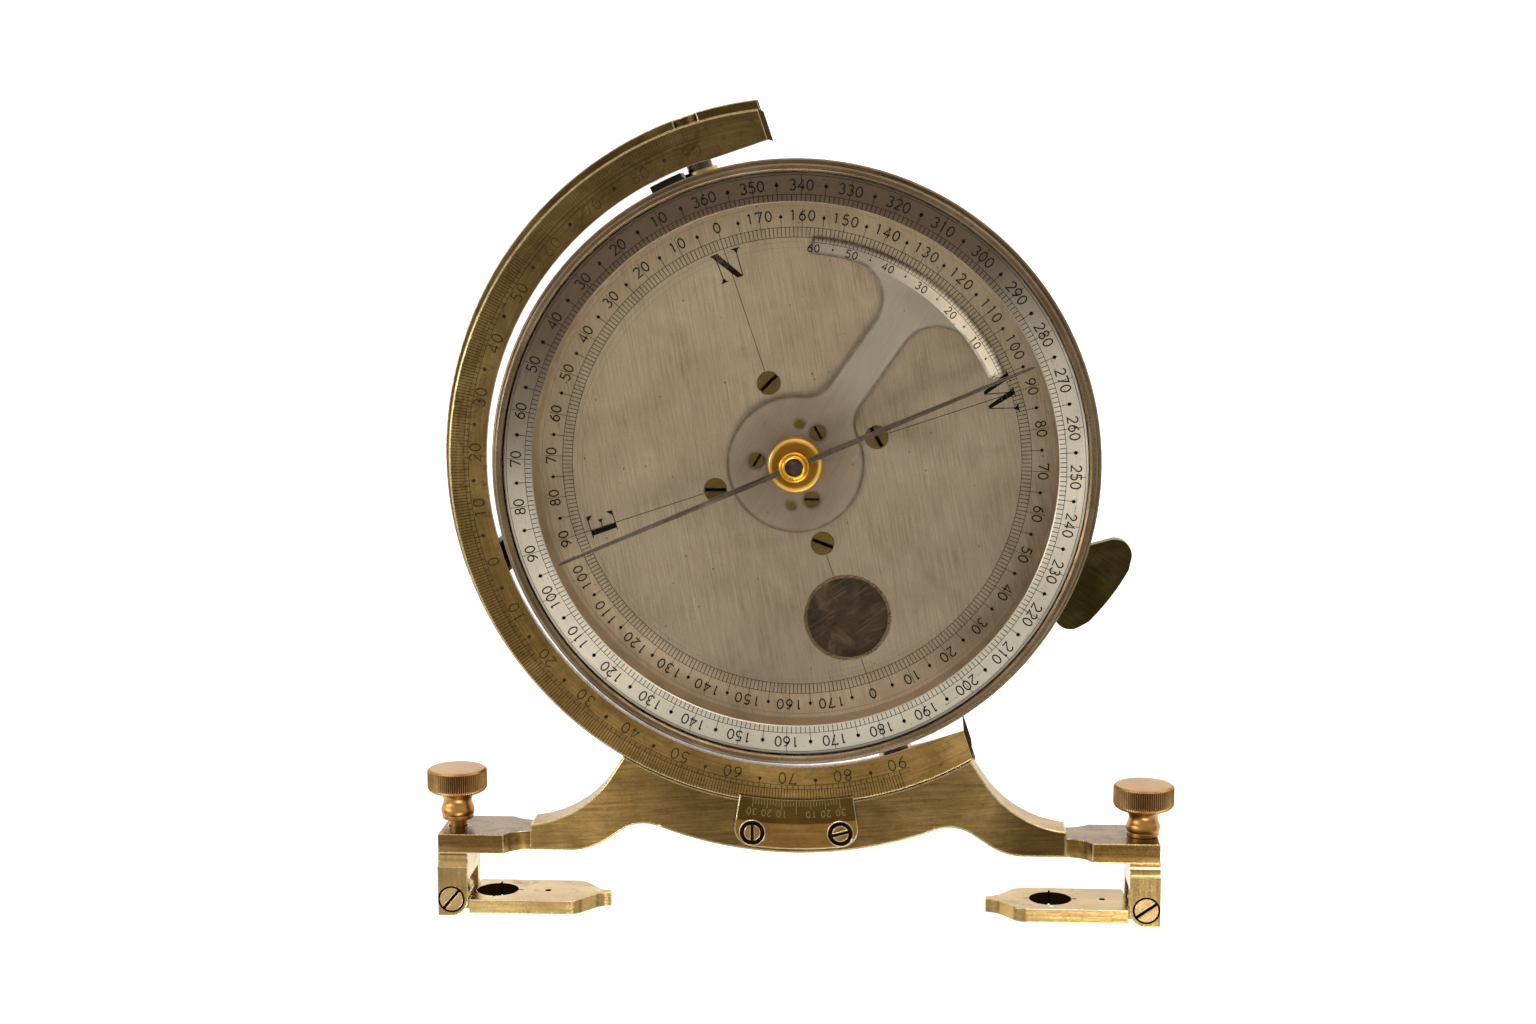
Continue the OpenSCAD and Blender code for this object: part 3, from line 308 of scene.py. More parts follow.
def dial_tint(s, colour):
    """A cloudy silvering, painted light north-west and under the southern digits, painted shade at the
    rim.
    """
    veil = s.noise(s.grain("line", 4.0, 100.0), 1.0, 4.0, 0.6)
    colour = s.mix(s.fit(veil, 0.35, 0.7, 0.0, 0.5), colour, (0.275, 0.21, 0.148))
    r = s.radius()
    # Painted shade towards the raised ring
    rim = s.fit(r, 50.0, 66.0, 0.0, 0.15, True)
    colour = s.mix(rim, colour, s.times(colour, (0.66, 0.6, 0.55)))
    x, y, _ = s.split(s.mm)
    # Painted light under the southern digits
    south = s.math("SUBTRACT", s.math("MULTIPLY", x, -0.26), y)
    south = s.fit(south, 25.0, 55.0, 0.0, 1.0, True)
    lit = s.math("MULTIPLY", s.fit(r, 54.0, 60.0, 0.0, 1.0, True), south)
    colour = s.mix(lit, colour, s.times(colour, (1.95, 1.92, 1.95)))
    # Painted light towards the north-west
    lean = s.math("SUBTRACT", y, s.math("MULTIPLY", x, 0.6))
    light = s.times(colour, (1.32, 1.30, 1.26))
    return s.mix(s.fit(lean, -50.0, 55.0, 0.0, 1.0), colour, light)


def frame_tint(s, colour):
    """Painted reflection on the frame's walls, painted light to the left and middle, painted shade on the
    right.
    """
    x, _, _ = s.split(s.mm)
    # Painted reflection: the walls are pale
    walls = s.times(colour, (2.6, 2.7, 3.0))
    # Painted light on the left shoulder and middle, painted shade on the right shoulder
    for start, end, factor in ((-24.0, -52.0, (2.1, 2.1, 2.1)), (12.0, 36.0, (1.25, 1.30, 1.40)),
                               (45.0, 57.0, (0.34, 0.31, 0.26))):
        changed = s.times(colour, factor)
        colour = s.mix(s.fit(x, start, end, 0.0, 1.0, True), colour, changed)
    front = s.math("GREATER_THAN", s.split(s.add("TexCoord").outputs["Normal"])[2], 0.7)
    return s.mix(front, walls, colour)


def limb_tint(s, colour):
    """The limb has painted light towards the frame and painted shade at its upper end."""
    _, y, _ = s.split(s.mm)
    # Painted light to the south, painted shade at the upper end
    for start, end, factor in ((70.0, -62.0, (1.55, 1.45, 1.30)), (55.0, 80.0, (0.78, 0.74, 0.74))):
        changed = s.times(colour, factor)
        colour = s.mix(s.fit(y, start, end, 0.0, 1.0, True), colour, changed)
    return colour


def limb_vernier_tint(s, colour):
    """The limb vernier's bevel is olive with painted shade, and its flat brighter with painted light."""
    r = s.radius()
    # Painted shade on the bevel, painted light on the flat
    factor = s.mix(s.math("LESS_THAN", r, FLAT_R), (1.35, 1.20, 1.05), (0.78, 0.72, 0.52))
    return s.times(colour, factor)


def axis_distance(s, cx, cy=None, cz=None):
    """Distance from the axes at x = cx and -cx, upright through y = cy or level through z = cz, mm."""
    x, y, z = s.split(s.mm)
    side = s.math("SUBTRACT", s.math("ABSOLUTE", x), cx)
    off = s.math("SUBTRACT", z, cz) if cy is None else s.math("SUBTRACT", y, cy)
    return s.vec("LENGTH", s.join(side, off, 0.0))


def near_axis(s, radius, cx, cy=None, cz=None):
    """1 within that radius of such an axis."""
    return s.math("LESS_THAN", axis_distance(s, cx, cy, cz), radius)


# Dark matt colours for grime and painted shade in hollows, slots and gaps
DIRT_AND_SHADE = (0.010, 0.005, 0.002)
SLOT_DIRT_AND_SHADE = (0.005, 0.002, 0.001)
BORE_DIRT_AND_SHADE = (0.022, 0.012, 0.005)
KNURL_DIRT_AND_SHADE = (0.035, 0.016, 0.006)


def darkened(s, colour, roughness, mask, dirt_and_shade=DIRT_AND_SHADE):
    """Matt grime and painted shade where the mask is 1."""
    roughness = s.math("ADD", roughness, s.math("MULTIPLY", mask, 0.45))
    return s.mix(mask, colour, dirt_and_shade), roughness, mask


def window_dirt(s, colour, roughness):
    """Painted shade on the walls of the sight windows, their notches and the peep holes."""
    x, _, z = s.split(s.mm)
    left = s.math("LESS_THAN", x, 0.0)
    mask = 0.0
    for side, window_x, peep_x in ((left, FAR_X, NEAR_X), (s.math("SUBTRACT", 1.0, left), NEAR_X, FAR_X)):
        window = near_axis(s, WINDOW_R, window_x, cz=SIGHT_Z)
        peep = near_axis(s, PEEP_R, peep_x, cz=SIGHT_Z)
        holes = s.math("MULTIPLY", s.math("MAXIMUM", window, peep), side)
        mask = s.math("MAXIMUM", holes, mask)
    # Painted light: the vanes' front faces lighter than their sides
    front = s.fit(z, VANE_FRONT - 0.03, VANE_FRONT + 0.03, 1.0, 1.75)
    colour = s.times(colour, s.join(front, front, front))
    for window_x in (-FAR_X, NEAR_X):
        dx = s.math("ABSOLUTE", s.math("SUBTRACT", x, window_x))
        dz = s.math("ABSOLUTE", s.math("SUBTRACT", z, SIGHT_Z))
        for a, b in ((dx, dz), (dz, dx)):
            within = s.math("LESS_THAN", a, NOTCH_REACH)
            notch = s.math("MULTIPLY", within, s.math("LESS_THAN", b, NOTCH_HALF))
            mask = s.math("MAXIMUM", mask, notch)
    return darkened(s, colour, roughness, mask)


def hinge_dirt(s, colour, roughness):
    """A painted shade line round each hinge screw's head, and grime with painted shade in its slot."""
    _, _, z = s.split(s.mm)
    off = axis_distance(s, HINGE_X, HINGE_Y)
    outer = s.math("LESS_THAN", off, HINGE_R + 0.26)
    ring = s.math("SUBTRACT", outer, s.math("LESS_THAN", off, HINGE_R - 0.24))
    slot = s.math("MULTIPLY", s.math("LESS_THAN", z, HINGE_SLOT_Z), s.math("LESS_THAN", off, HINGE_R))
    return darkened(s, colour, roughness, s.math("MAXIMUM", ring, slot))


def vernier_screw_dirt(s, colour, roughness):
    """Grime and painted shade in the limb vernier's counterbores and the slots of its screws."""
    _, _, z = s.split(s.mm)
    bore = near_axis(s, VERNIER_BORE_R, VERNIER_SCREW_X, VERNIER_SCREW_Y)
    low = s.math("MULTIPLY", s.math("LESS_THAN", z, VERNIER_BORE_Z), bore)
    return darkened(s, colour, roughness, low, BORE_DIRT_AND_SHADE)


def slot_dirt(node):
    """Grime and painted shade in the slots of a node's upright screws, below their tops."""
    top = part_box(node)[1][2] / MM

    def late(s, colour, roughness):
        _, _, z = s.split(s.mm)
        return darkened(s, colour, roughness, s.math("LESS_THAN", z, top - 0.06), SLOT_DIRT_AND_SHADE)
    return late


def limb_walls(s, colour, roughness):
    """The polished inner wall with a painted near-white reflection, and the dark matt ends."""
    x, y, _ = s.split(s.mm)
    r = s.radius()
    c, d = math.cos(math.radians(EAST)), math.sin(math.radians(EAST))
    past = s.math("ADD", s.math("MULTIPLY", x, c), s.math("MULTIPLY", y, d))
    along = s.math("ABSOLUTE", s.math("SUBTRACT", s.math("MULTIPLY", x, d), s.math("MULTIPLY", y, c)))
    channel = s.math("MULTIPLY", s.math("LESS_THAN", along, GAP_HALF), s.math("LESS_THAN", past, 0.0))
    inner = s.math("MAXIMUM", s.math("LESS_THAN", r, LIMB_WALL_R), channel)
    end = s.math("LESS_THAN", past, -LIMB_END)
    dull = s.fit(s.noise(s.mm, 0.5, 4.0, 0.7), 0.4, 0.6)
    dark_end = s.mix(dull, (0.030, 0.018, 0.009), (0.085, 0.055, 0.028))
    # Painted reflection: the inner wall is near-white
    colour = s.mix(inner, s.mix(end, colour, dark_end), (0.90, 0.88, 0.85))
    roughness = s.math("ADD", roughness, s.math("MULTIPLY", end, 0.4))
    end = s.math("MULTIPLY", end, s.math("SUBTRACT", 1.0, inner))
    return colour, s.math("SUBTRACT", roughness, s.math("MULTIPLY", inner, 0.30)), end


def arm_light(s, colour, roughness):
    """A brighter lower border on the arms' fronts."""
    _, y, _ = s.split(s.mm)
    low = s.fit(y, -96.6, -98.2, 1.0, 1.9, True)
    return s.times(colour, s.join(low, low, low)), roughness, None


def knurl_dirt(s, colour, roughness):
    """Brown grime and painted shade at the bottom of the knurling."""
    deep = s.fit(axis_distance(s, THUMB_X, cz=SIGHT_Z), 7.28, 7.50, 0.85, 0.0)
    roughness = s.math("ADD", roughness, s.math("MULTIPLY", deep, 0.3))
    return s.mix(deep, colour, KNURL_DIRT_AND_SHADE), roughness, None


# Worn edges with a painted highlight, for the limb, the frame, the arms and the trunnion collars
GOLD = (1.0, 0.78, 0.40)
silver_dial = metal("silvered_dial",
                    ((0.182, 0.148, 0.107), (0.227, 0.189, 0.141), (0.268, 0.228, 0.176)), 0.46,
                    ("line", 0.42, 100.0), 0.30, (0.25, 0.17, 0.10), (0.66, 0.86), bump=0.30, pits=0.9,
                    sheen=0.5, tint=dial_tint)
silver_ring = metal("silvered_ring", ((0.80, 0.76, 0.68), (0.86, 0.82, 0.75), (0.90, 0.87, 0.82)), 0.33,
                    ("turned", 0.45), 0.07, (0.55, 0.45, 0.36), (0.66, 0.90), bump=0.02, tint=ring_tint)
# Its dark edge colour is a painted shade line round the plate
silver_vernier = metal("silvered_vernier",
                       ((0.285, 0.248, 0.214), (0.33, 0.29, 0.252), (0.375, 0.338, 0.30)), 0.42,
                       ("line", 0.5, 60.0), 0.10, (0.30, 0.22, 0.16), (0.64, 0.86),
                       edge=(0.040, 0.026, 0.016), bevel=1.5, edge_at=0.0, bump=0.15, pits=0.6,
                       sheen=0.65, tint=vernier_tint)
limb_brass = metal("limb_brass", ((0.084, 0.056, 0.020), (0.138, 0.094, 0.037), (0.21, 0.15, 0.066)),
                   0.36, ("turned", 0.5), 0.30, (0.060, 0.037, 0.012), (0.50, 0.72), edge=GOLD,
                   edge_at=0.004, bevel=0.5, bump=0.15, tint=limb_tint, late=limb_walls)
box_brass = metal("box_brass", ((0.105, 0.070, 0.040), (0.155, 0.112, 0.072), (0.22, 0.168, 0.115)),
                  0.30, ("turned", 0.5), 0.25, (0.05, 0.032, 0.016), (0.52, 0.74),
                  edge=(0.42, 0.28, 0.16), bevel=0.2, bump=0.15)
frame_brass = metal("frame_brass", ((0.085, 0.053, 0.018), (0.13, 0.084, 0.031), (0.20, 0.135, 0.056)),
                    0.36, ("line", 0.5, 4.0), 0.28, (0.062, 0.040, 0.014), (0.56, 0.80), edge=GOLD,
                    edge_at=0.002, bevel=0.8, bump=0.12, tint=frame_tint)
arm_brass = metal("arm_brass", ((0.125, 0.070, 0.018), (0.17, 0.102, 0.032), (0.25, 0.16, 0.06)), 0.27,
                  ("line", 0.6, 0.0), 0.20, (0.085, 0.05, 0.015), (0.50, 0.72), edge=GOLD,
                  edge_at=0.006, bevel=0.4, bump=0.12, late=arm_light)
PALE_BRASS = ((0.29, 0.19, 0.07), (0.44, 0.31, 0.13), (0.58, 0.44, 0.21))
vane_brass = metal("vane_brass", PALE_BRASS, 0.24, ("line", 0.6, 0.0), 0.16, (0.15, 0.09, 0.03),
                   (0.52, 0.76), edge=(1.0, 0.82, 0.50), edge_at=0.006, bevel=0.4, bump=0.10,
                   late=window_dirt)
bracket_brass = metal("bracket_brass", PALE_BRASS, 0.22, ("line", 0.6, 90.0), 0.16, (0.15, 0.09, 0.03),
                      (0.52, 0.76), edge=(1.0, 0.82, 0.50), edge_at=0.006, bevel=0.4, bump=0.10,
                      late=hinge_dirt)
# Bright edge colour: wear with a painted highlight
vernier_brass = metal("vernier_brass",
                      ((0.10, 0.062, 0.020), (0.145, 0.092, 0.033), (0.20, 0.13, 0.05)), 0.34,
                      ("line", 0.5, 0.0), 0.16, (0.075, 0.05, 0.016), (0.54, 0.74),
                      edge=(1.0, 0.86, 0.52), edge_at=0.0, bevel=0.5, bump=0.12, tint=limb_vernier_tint,
                      late=vernier_screw_dirt)
OLIVE_BRASS = ((0.10, 0.066, 0.020), (0.14, 0.097, 0.031), (0.19, 0.135, 0.05))
screw_brass = metal("screw_brass", OLIVE_BRASS, 0.34, ("line", 0.4, 20.0), 0.16, (0.09, 0.06, 0.03),
                    edge=(0.42, 0.30, 0.13), bevel=0.12, bump=0.12)
# Dark edge colour: painted shade round the screw heads
dial_screw_brass = metal("dial_screw_brass", OLIVE_BRASS, 0.34, ("line", 0.4, 50.0), 0.2,
                         (0.09, 0.06, 0.03), edge=(0.03, 0.02, 0.01), edge_at=0.01, bevel=0.25,
                         bump=0.12, late=slot_dirt("dial_screws"))
# Dark edge colour: painted shade round the screw heads
vernier_screw_brass = metal("vernier_screw_brass", OLIVE_BRASS, 0.34, ("line", 0.4, 20.0), 0.16,
                            (0.09, 0.06, 0.03), edge=(0.03, 0.02, 0.01), edge_at=0.01, bevel=0.2,
                            bump=0.12, late=slot_dirt("vernier_screws"))
head_brass = metal("screw_head_brass", ((0.42, 0.28, 0.12), (0.54, 0.38, 0.18), (0.66, 0.48, 0.25)),
                   0.28, ("line", 0.5, 35.0), 0.12, (0.16, 0.10, 0.04), edge=(0.9, 0.72, 0.42),
                   bevel=0.15, bump=0.1, pits=0.5, late=hinge_dirt)
# Bright edge colour: wear with a painted highlight on the heads' rims
cheese_brass = metal("cheese_head_brass", ((0.20, 0.12, 0.045), (0.28, 0.18, 0.07), (0.38, 0.26, 0.11)),
                     0.28, ("line", 0.5, 35.0), 0.12, (0.10, 0.06, 0.02), edge=(1.0, 0.86, 0.55),
                     edge_at=0.0, bevel=0.35, bump=0.1, late=vernier_screw_dirt)
seat_brass = metal("seat_brass", ((0.62, 0.36, 0.05), (0.78, 0.47, 0.08), (0.92, 0.60, 0.14)), 0.42,
                   ("turned", 0.3), 0.14, (0.30, 0.16, 0.04), (0.6, 0.85), edge=(1.0, 0.78, 0.36),
                   bevel=0.3, bump=0.2)
cap_brass = metal("cap_brass", ((0.55, 0.32, 0.032), (0.76, 0.47, 0.055), (0.93, 0.65, 0.11)), 0.22,
                  ("turned", 0.3), 0.10, (0.12, 0.07, 0.02), (0.6, 0.85), bevel=0.2, bump=0.04)
collar_brass = metal("collar_brass", ((0.34, 0.22, 0.08), (0.50, 0.34, 0.14), (0.68, 0.49, 0.23)), 0.26,
                     ("turned", 0.3), 0.12, (0.10, 0.06, 0.02), (0.55, 0.8), edge=GOLD, bevel=0.2,
                     bump=0.06)
thumb_brass = metal("thumb_screw_brass",
                    ((0.30, 0.155, 0.045), (0.39, 0.215, 0.07), (0.50, 0.30, 0.12)), 0.34,
                    ("line", 0.5, 0.0), 0.10, (0.20, 0.10, 0.035), (0.58, 0.82), bevel=0.15, bump=0.02)
knurl_brass = metal("knurled_brass", ((0.22, 0.115, 0.045), (0.32, 0.18, 0.075), (0.44, 0.27, 0.125)),
                    0.32, ("line", 0.4, 90.0), 0.16, (0.06, 0.032, 0.013), (0.48, 0.74),
                    edge=(0.55, 0.34, 0.16), bevel=0.08, bump=0.1, late=knurl_dirt)
# Painted shade: the lugs are near-black, as seen in shadow behind the bezel
shade_black_brass = metal("blackened_brass",
                    ((0.020, 0.016, 0.012), (0.032, 0.026, 0.020), (0.055, 0.045, 0.032)), 0.48,
                    ("line", 0.3, 70.0), 0.2, (0.06, 0.045, 0.03), edge=(0.20, 0.15, 0.08), bevel=0.2)
wing_brass = metal("wing_brass", ((0.019, 0.013, 0.004), (0.031, 0.023, 0.008), (0.066, 0.050, 0.018)),
                   0.34, ("line", 0.3, -36.0), 0.2, (0.015, 0.012, 0.005), edge=(0.5, 0.36, 0.14),
                   bevel=0.3)
steel = metal("steel", ((0.22, 0.21, 0.20), (0.30, 0.29, 0.28), (0.40, 0.38, 0.36)), 0.28,
              ("turned", 0.15), 0.10, (0.10, 0.07, 0.05), edge=(0.6, 0.58, 0.55), bevel=0.12)
# Dark steel, darkened further as painted shade under the limb
pin_steel = metal("pin_steel", ((0.055, 0.042, 0.034), (0.085, 0.067, 0.054), (0.15, 0.12, 0.095)),
                  0.26, ("turned", 0.4), 0.14, (0.05, 0.03, 0.02), edge=(0.5, 0.46, 0.40), bevel=0.15,
                  bump=0.05)
needle_steel = metal("needle_steel",
                     ((0.085, 0.064, 0.053), (0.12, 0.093, 0.078), (0.19, 0.155, 0.135)), 0.30,
                     ("line", 0.3, 22.95), 0.12, (0.09, 0.065, 0.05), edge=(0.36, 0.32, 0.28),
                     bevel=0.08)


def filling(name, colour, pale):
    """Wax worked into the engraved lines, thin in places."""
    s = Shade(name)
    thin = s.noise(s.mm, 1.3, 4.0, 0.65)
    s.set(Base_Color=s.ramp(thin, (0.42, colour), (0.75, pale)), Specular_IOR_Level=0.05,
          Roughness=s.fit(thin, 0.3, 0.7, 0.6, 0.85), Normal=s.bump(s.noise(s.mm, 6.0), 0.3, 0.02))
    return s.mat


ink = filling("engraving_wax", (0.004, 0.002, 0.001), (0.014, 0.008, 0.004))
ring_ink = filling("ring_wax", (0.003, 0.0015, 0.001), (0.010, 0.006, 0.003))
limb_ink = filling("limb_wax", (0.014, 0.009, 0.004), (0.075, 0.048, 0.018))
faint_ink = filling("faint_dial_tone", (0.19, 0.14, 0.095), (0.25, 0.19, 0.13))
silver_line = filling("bright_scribing", (0.26, 0.205, 0.10), (0.12, 0.08, 0.03))


def glass(name, tint, smear):
    """Thin clear glass with a little dust. Its low index keeps a veil off the dial."""
    s = Shade(name)
    dust = s.noise(s.mm, 0.25, 5.0, 0.7)
    s.set(Base_Color=s.ramp(dust, (0.45, tint), (0.8, tuple(c * 0.97 for c in tint))), IOR=1.09,
          Transmission_Weight=1.0, Roughness=s.fit(dust, 0.52, 0.8, 0.0, smear, True))
    return s.mat


clear_glass = glass("clear_glass", (0.985, 0.985, 0.975), 0.006)


def spirit(name, coat):
    """Darkened spirit of the level, or with a coat the scratched and stained glass over it."""
    s = Shade(name)
    cloud = s.noise(s.mm, 0.16, 6.0, 0.7, 1.0)
    scratch = s.noise(s.grain("line", 0.5, 35.0), 1.0, 3.0, 0.7)
    colour = s.ramp(cloud, (0.34, (0.016, 0.009, 0.005)), (0.54, (0.042, 0.025, 0.013)),
                    (0.74, (0.095, 0.063, 0.036)))
    colour = s.mix(s.fit(scratch, 0.58, 0.74, 0.0, 0.5), colour, (0.14, 0.10, 0.062))
    s.set(Base_Color=colour, Specular_IOR_Level=0.05, Roughness=s.fit(cloud, 0.3, 0.7, 0.40, 0.60),
          Normal=s.bump(scratch, 0.12, 0.02), Coat_Weight=coat, Coat_Roughness=0.12)
    return s.mat


def agate():
    """The needle's dark banded stone."""
    s = Shade("agate")
    band = s.noise(s.vec("MULTIPLY", s.mm, (0.5, 0.5, 2.2)), 1.6, 4.0, 0.5, 0.8)
    colour = s.ramp(band, (0.35, (0.016, 0.007, 0.005)), (0.6, (0.055, 0.026, 0.016)),
                    (0.75, (0.13, 0.075, 0.048)))
    s.set(Base_Color=colour, Specular_IOR_Level=0.3, Roughness=s.fit(band, 0.3, 0.7, 0.08, 0.18),
          Coat_Weight=0.1)
    return s.mat


FINISH = {
    "tripod_socket": box_brass, "spindle": steel, "vernier_plate": silver_vernier,
    "vernier_screws": vernier_screw_brass, "vernier_pins": screw_brass, "pivot_seat": seat_brass,
    "pivot_pin": steel, "needle": needle_steel, "needle_cap": cap_brass, "cap_jewel": agate(),
    "compass_box": box_brass, "dial_plate": silver_dial, "dial_screws": dial_screw_brass,
    "degree_ring": silver_ring, "bezel": box_brass, "cover_glass": clear_glass, "level_cup": box_brass,
    "level_fluid": spirit("level_spirit", 0.0), "level_glass": spirit("level_glass", 0.04),
    "clamp_collar": box_brass, "collar_screws": screw_brass, "trunnion_collars": collar_brass,
    "trunnion_pin_north": pin_steel, "trunnion_pin_south": pin_steel, "rest_lug": shade_black_brass,
    "stop_lug": shade_black_brass, "lug_screws": screw_brass, "wing_screw": wing_brass, "limb": limb_brass,
    "sight_frame": frame_brass, "keeper": frame_brass, "keeper_screws": screw_brass,
    "limb_vernier": vernier_brass, "limb_vernier_screws": cheese_brass, "arm_left": arm_brass,
    "arm_right": arm_brass, "bracket_left": bracket_brass, "bracket_right": bracket_brass,
    "hinge_screw_left": head_brass, "hinge_screw_right": head_brass, "vane_left": vane_brass,
    "vane_right": vane_brass, "thumb_screw_left": thumb_brass, "thumb_screw_right": thumb_brass,
}
for name, node in nodes.items():
    if not node.material_slots:
        node.data.materials.append(FINISH[name])
    for place in node.material_slots:
        place.material = FINISH[name]


# Engraving
def polar(r, a):
    return r * math.cos(math.radians(a)), r * math.sin(math.radians(a))


class Engraving:
    """Filled strokes gathered into one mesh of thin closed prisms that follow a face."""

    PROUD, SUNK = 0.016, 0.01

    def __init__(self, height):
        self.height = height if callable(height) else lambda x, y: height
        self.verts, self.faces = [], []

    def band(self, left, right, closed=False):
        """A strip between two rows of plan points, mm."""
        base, n = len(self.verts), len(left)
        for (lx, ly), (rx, ry) in zip(left, right):
            zl, zr = self.height(lx, ly), self.height(rx, ry)
            self.verts += [(lx, ly, zl + self.PROUD), (rx, ry, zr + self.PROUD),
                           (lx, ly, zl - self.SUNK), (rx, ry, zr - self.SUNK)]
        for i in range(n if closed else n - 1):
            a, b = base + 4 * i, base + 4 * ((i + 1) % n)
            self.faces += [(a, a + 1, b + 1, b), (a + 3, a + 2, b + 2, b + 3),
                           (a + 2, a, b, b + 2), (a + 1, a + 3, b + 3, b + 1)]
        if not closed:
            z = base + 4 * (n - 1)
            self.faces += [(base, base + 2, base + 3, base + 1), (z, z + 1, z + 3, z + 2)]

    def stroke(self, points, width, closed=False):
        """A pen line through plan points, with mitred joints."""
        n, left, right = len(points), [], []
        for i, (x, y) in enumerate(points):
            sides = []
            for j, k in ((i - 1, i), (i, i + 1)):
                if closed or (j >= 0 and k < n):
                    dx = points[k % n][0] - points[j % n][0]
                    dy = points[k % n][1] - points[j % n][1]
                    d = math.hypot(dx, dy) or 1.0
                    sides.append((-dy / d, dx / d))
            nx, ny = sum(s[0] for s in sides), sum(s[1] for s in sides)
            d = math.hypot(nx, ny) or 1.0
            nx, ny = nx / d, ny / d
            reach = width / 2 / max(0.5, nx * sides[0][0] + ny * sides[0][1])
            left.append((x + nx * reach, y + ny * reach))
            right.append((x - nx * reach, y - ny * reach))
        self.band(left, right, closed)

    def tick(self, a, r0, r1, width):
        self.stroke([polar(r0, a), polar(r1, a)], width)

    def circle(self, r, width, a0=0.0, a1=360.0, step=2.0):
        count = max(2, int(abs(a1 - a0) / step))
        whole = abs(a1 - a0) >= 360
        points = [a0 + (a1 - a0) * i / count for i in range(count + (0 if whole else 1))]
        inside = [polar(r - width / 2, a) for a in points]
        self.band(inside, [polar(r + width / 2, a) for a in points], whole)

    def dot(self, r, a, size):
        x, y = polar(r, a)
        halves = []
        for side in (-1, 1):
            turns = [side * t * math.pi / 5 for t in range(6)]
            halves.append([(x + size / 2 * math.cos(t), y + size / 2 * math.sin(t)) for t in turns])
        self.band(*halves)

    def label(self, text, r, a, high, pen, gap=0.3):
        """Digits that stand on the inside of radius r and read clockwise, their middle at angle a."""
        step = (DIGIT_WIDE + gap) * high
        start = -((len(text) - 1) * step + DIGIT_WIDE * high) / 2
        for i, digit in enumerate(text):
            for line, closed in GLYPHS[digit]:
                bent = []
                for gx, gy in line:
                    x, y = start + i * step + gx * high, (gy - 0.5) * high
                    bent.append(polar(r + y, a - math.degrees(x / r)))
                self.stroke(bent, pen, closed)

    def letter(self, shape, r, a):
        """Lines, filled corners and hatched stems of a capital, standing on radius r."""
        def at(p):
            return polar(r + p[1], a - math.degrees(p[0] / r))
        for kind, *pts in shape:
            if kind == "thin":
                self.stroke([at(p) for p in pts], THIN_PEN)
            elif kind == "fill":
                p0, p1, p2 = pts
                self.band([at(p0), at(p0)], [at(p1), at(p2)])
            else:
                a0, a1, b0, b1 = pts
                for i in range(STEM_LINES):
                    t = i / (STEM_LINES - 1)
                    p = (a0[0] + (a1[0] - a0[0]) * t, a0[1] + (a1[1] - a0[1]) * t)
                    q = (b0[0] + (b1[0] - b0[0]) * t, b0[1] + (b1[1] - b0[1]) * t)
                    self.stroke([at(p), at(q)], STEM_PEN)

    def piece(self, name, body, material):
        verts = [(x * MM, y * MM, z * MM) for x, y, z in self.verts]
        obj = new_object(name, new_mesh(name, verts, self.faces, material))
        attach(obj, body)


# The digits' width for a height of 1, and the capitals' pens in mm with the lines in a stem
DIGIT_WIDE, THIN_PEN, STEM_PEN, STEM_LINES = 0.62, 0.23, 0.27, 5


def arc(cx, cy, rx, ry, a0, a1, n=9):
    return [(cx + rx * math.cos(math.radians(a0 + (a1 - a0) * i / n)),
             cy + ry * math.sin(math.radians(a0 + (a1 - a0) * i / n))) for i in range(n + 1)]


def oval(cx, cy, rx, ry, n=14):
    return arc(cx, cy, rx, ry, 0, 360, n)[:-1]


# Digits as pen lines, each open or closed, for a height of 1
GLYPHS = {
    "0": [(oval(0.31, 0.5, 0.29, 0.48, 18), True)],
    "1": [([(0.31, 1.0), (0.31, 0.0)], False), ([(0.14, 0.86), (0.31, 0.99)], False)],
    "2": [(arc(0.31, 0.72, 0.27, 0.28, 165, -28) + [(0.03, 0.02), (0.6, 0.02)], False)],
    "3": [(arc(0.27, 0.75, 0.25, 0.24, 150, -80), False), (arc(0.27, 0.27, 0.30, 0.27, 82, -150), False)],
    "4": [([(0.46, 0.0), (0.46, 0.98), (0.0, 0.28), (0.64, 0.28)], False)],
    "5": [([(0.56, 0.99), (0.14, 0.99), (0.08, 0.58)] + arc(0.28, 0.31, 0.30, 0.31, 120, -148), False)],
    "6": [(oval(0.31, 0.30, 0.28, 0.30), True),
          ([(0.53, 0.97), (0.30, 0.84), (0.10, 0.58), (0.03, 0.34)], False)],
    "7": [([(0.02, 0.86), (0.04, 0.99), (0.60, 0.99), (0.22, 0.0)], False)],
    "8": [(oval(0.31, 0.75, 0.23, 0.24), True), (oval(0.31, 0.26, 0.28, 0.26), True)],
    "9": [(oval(0.31, 0.70, 0.28, 0.30), True),
          ([(0.09, 0.03), (0.32, 0.16), (0.52, 0.42), (0.59, 0.66)], False)],
}
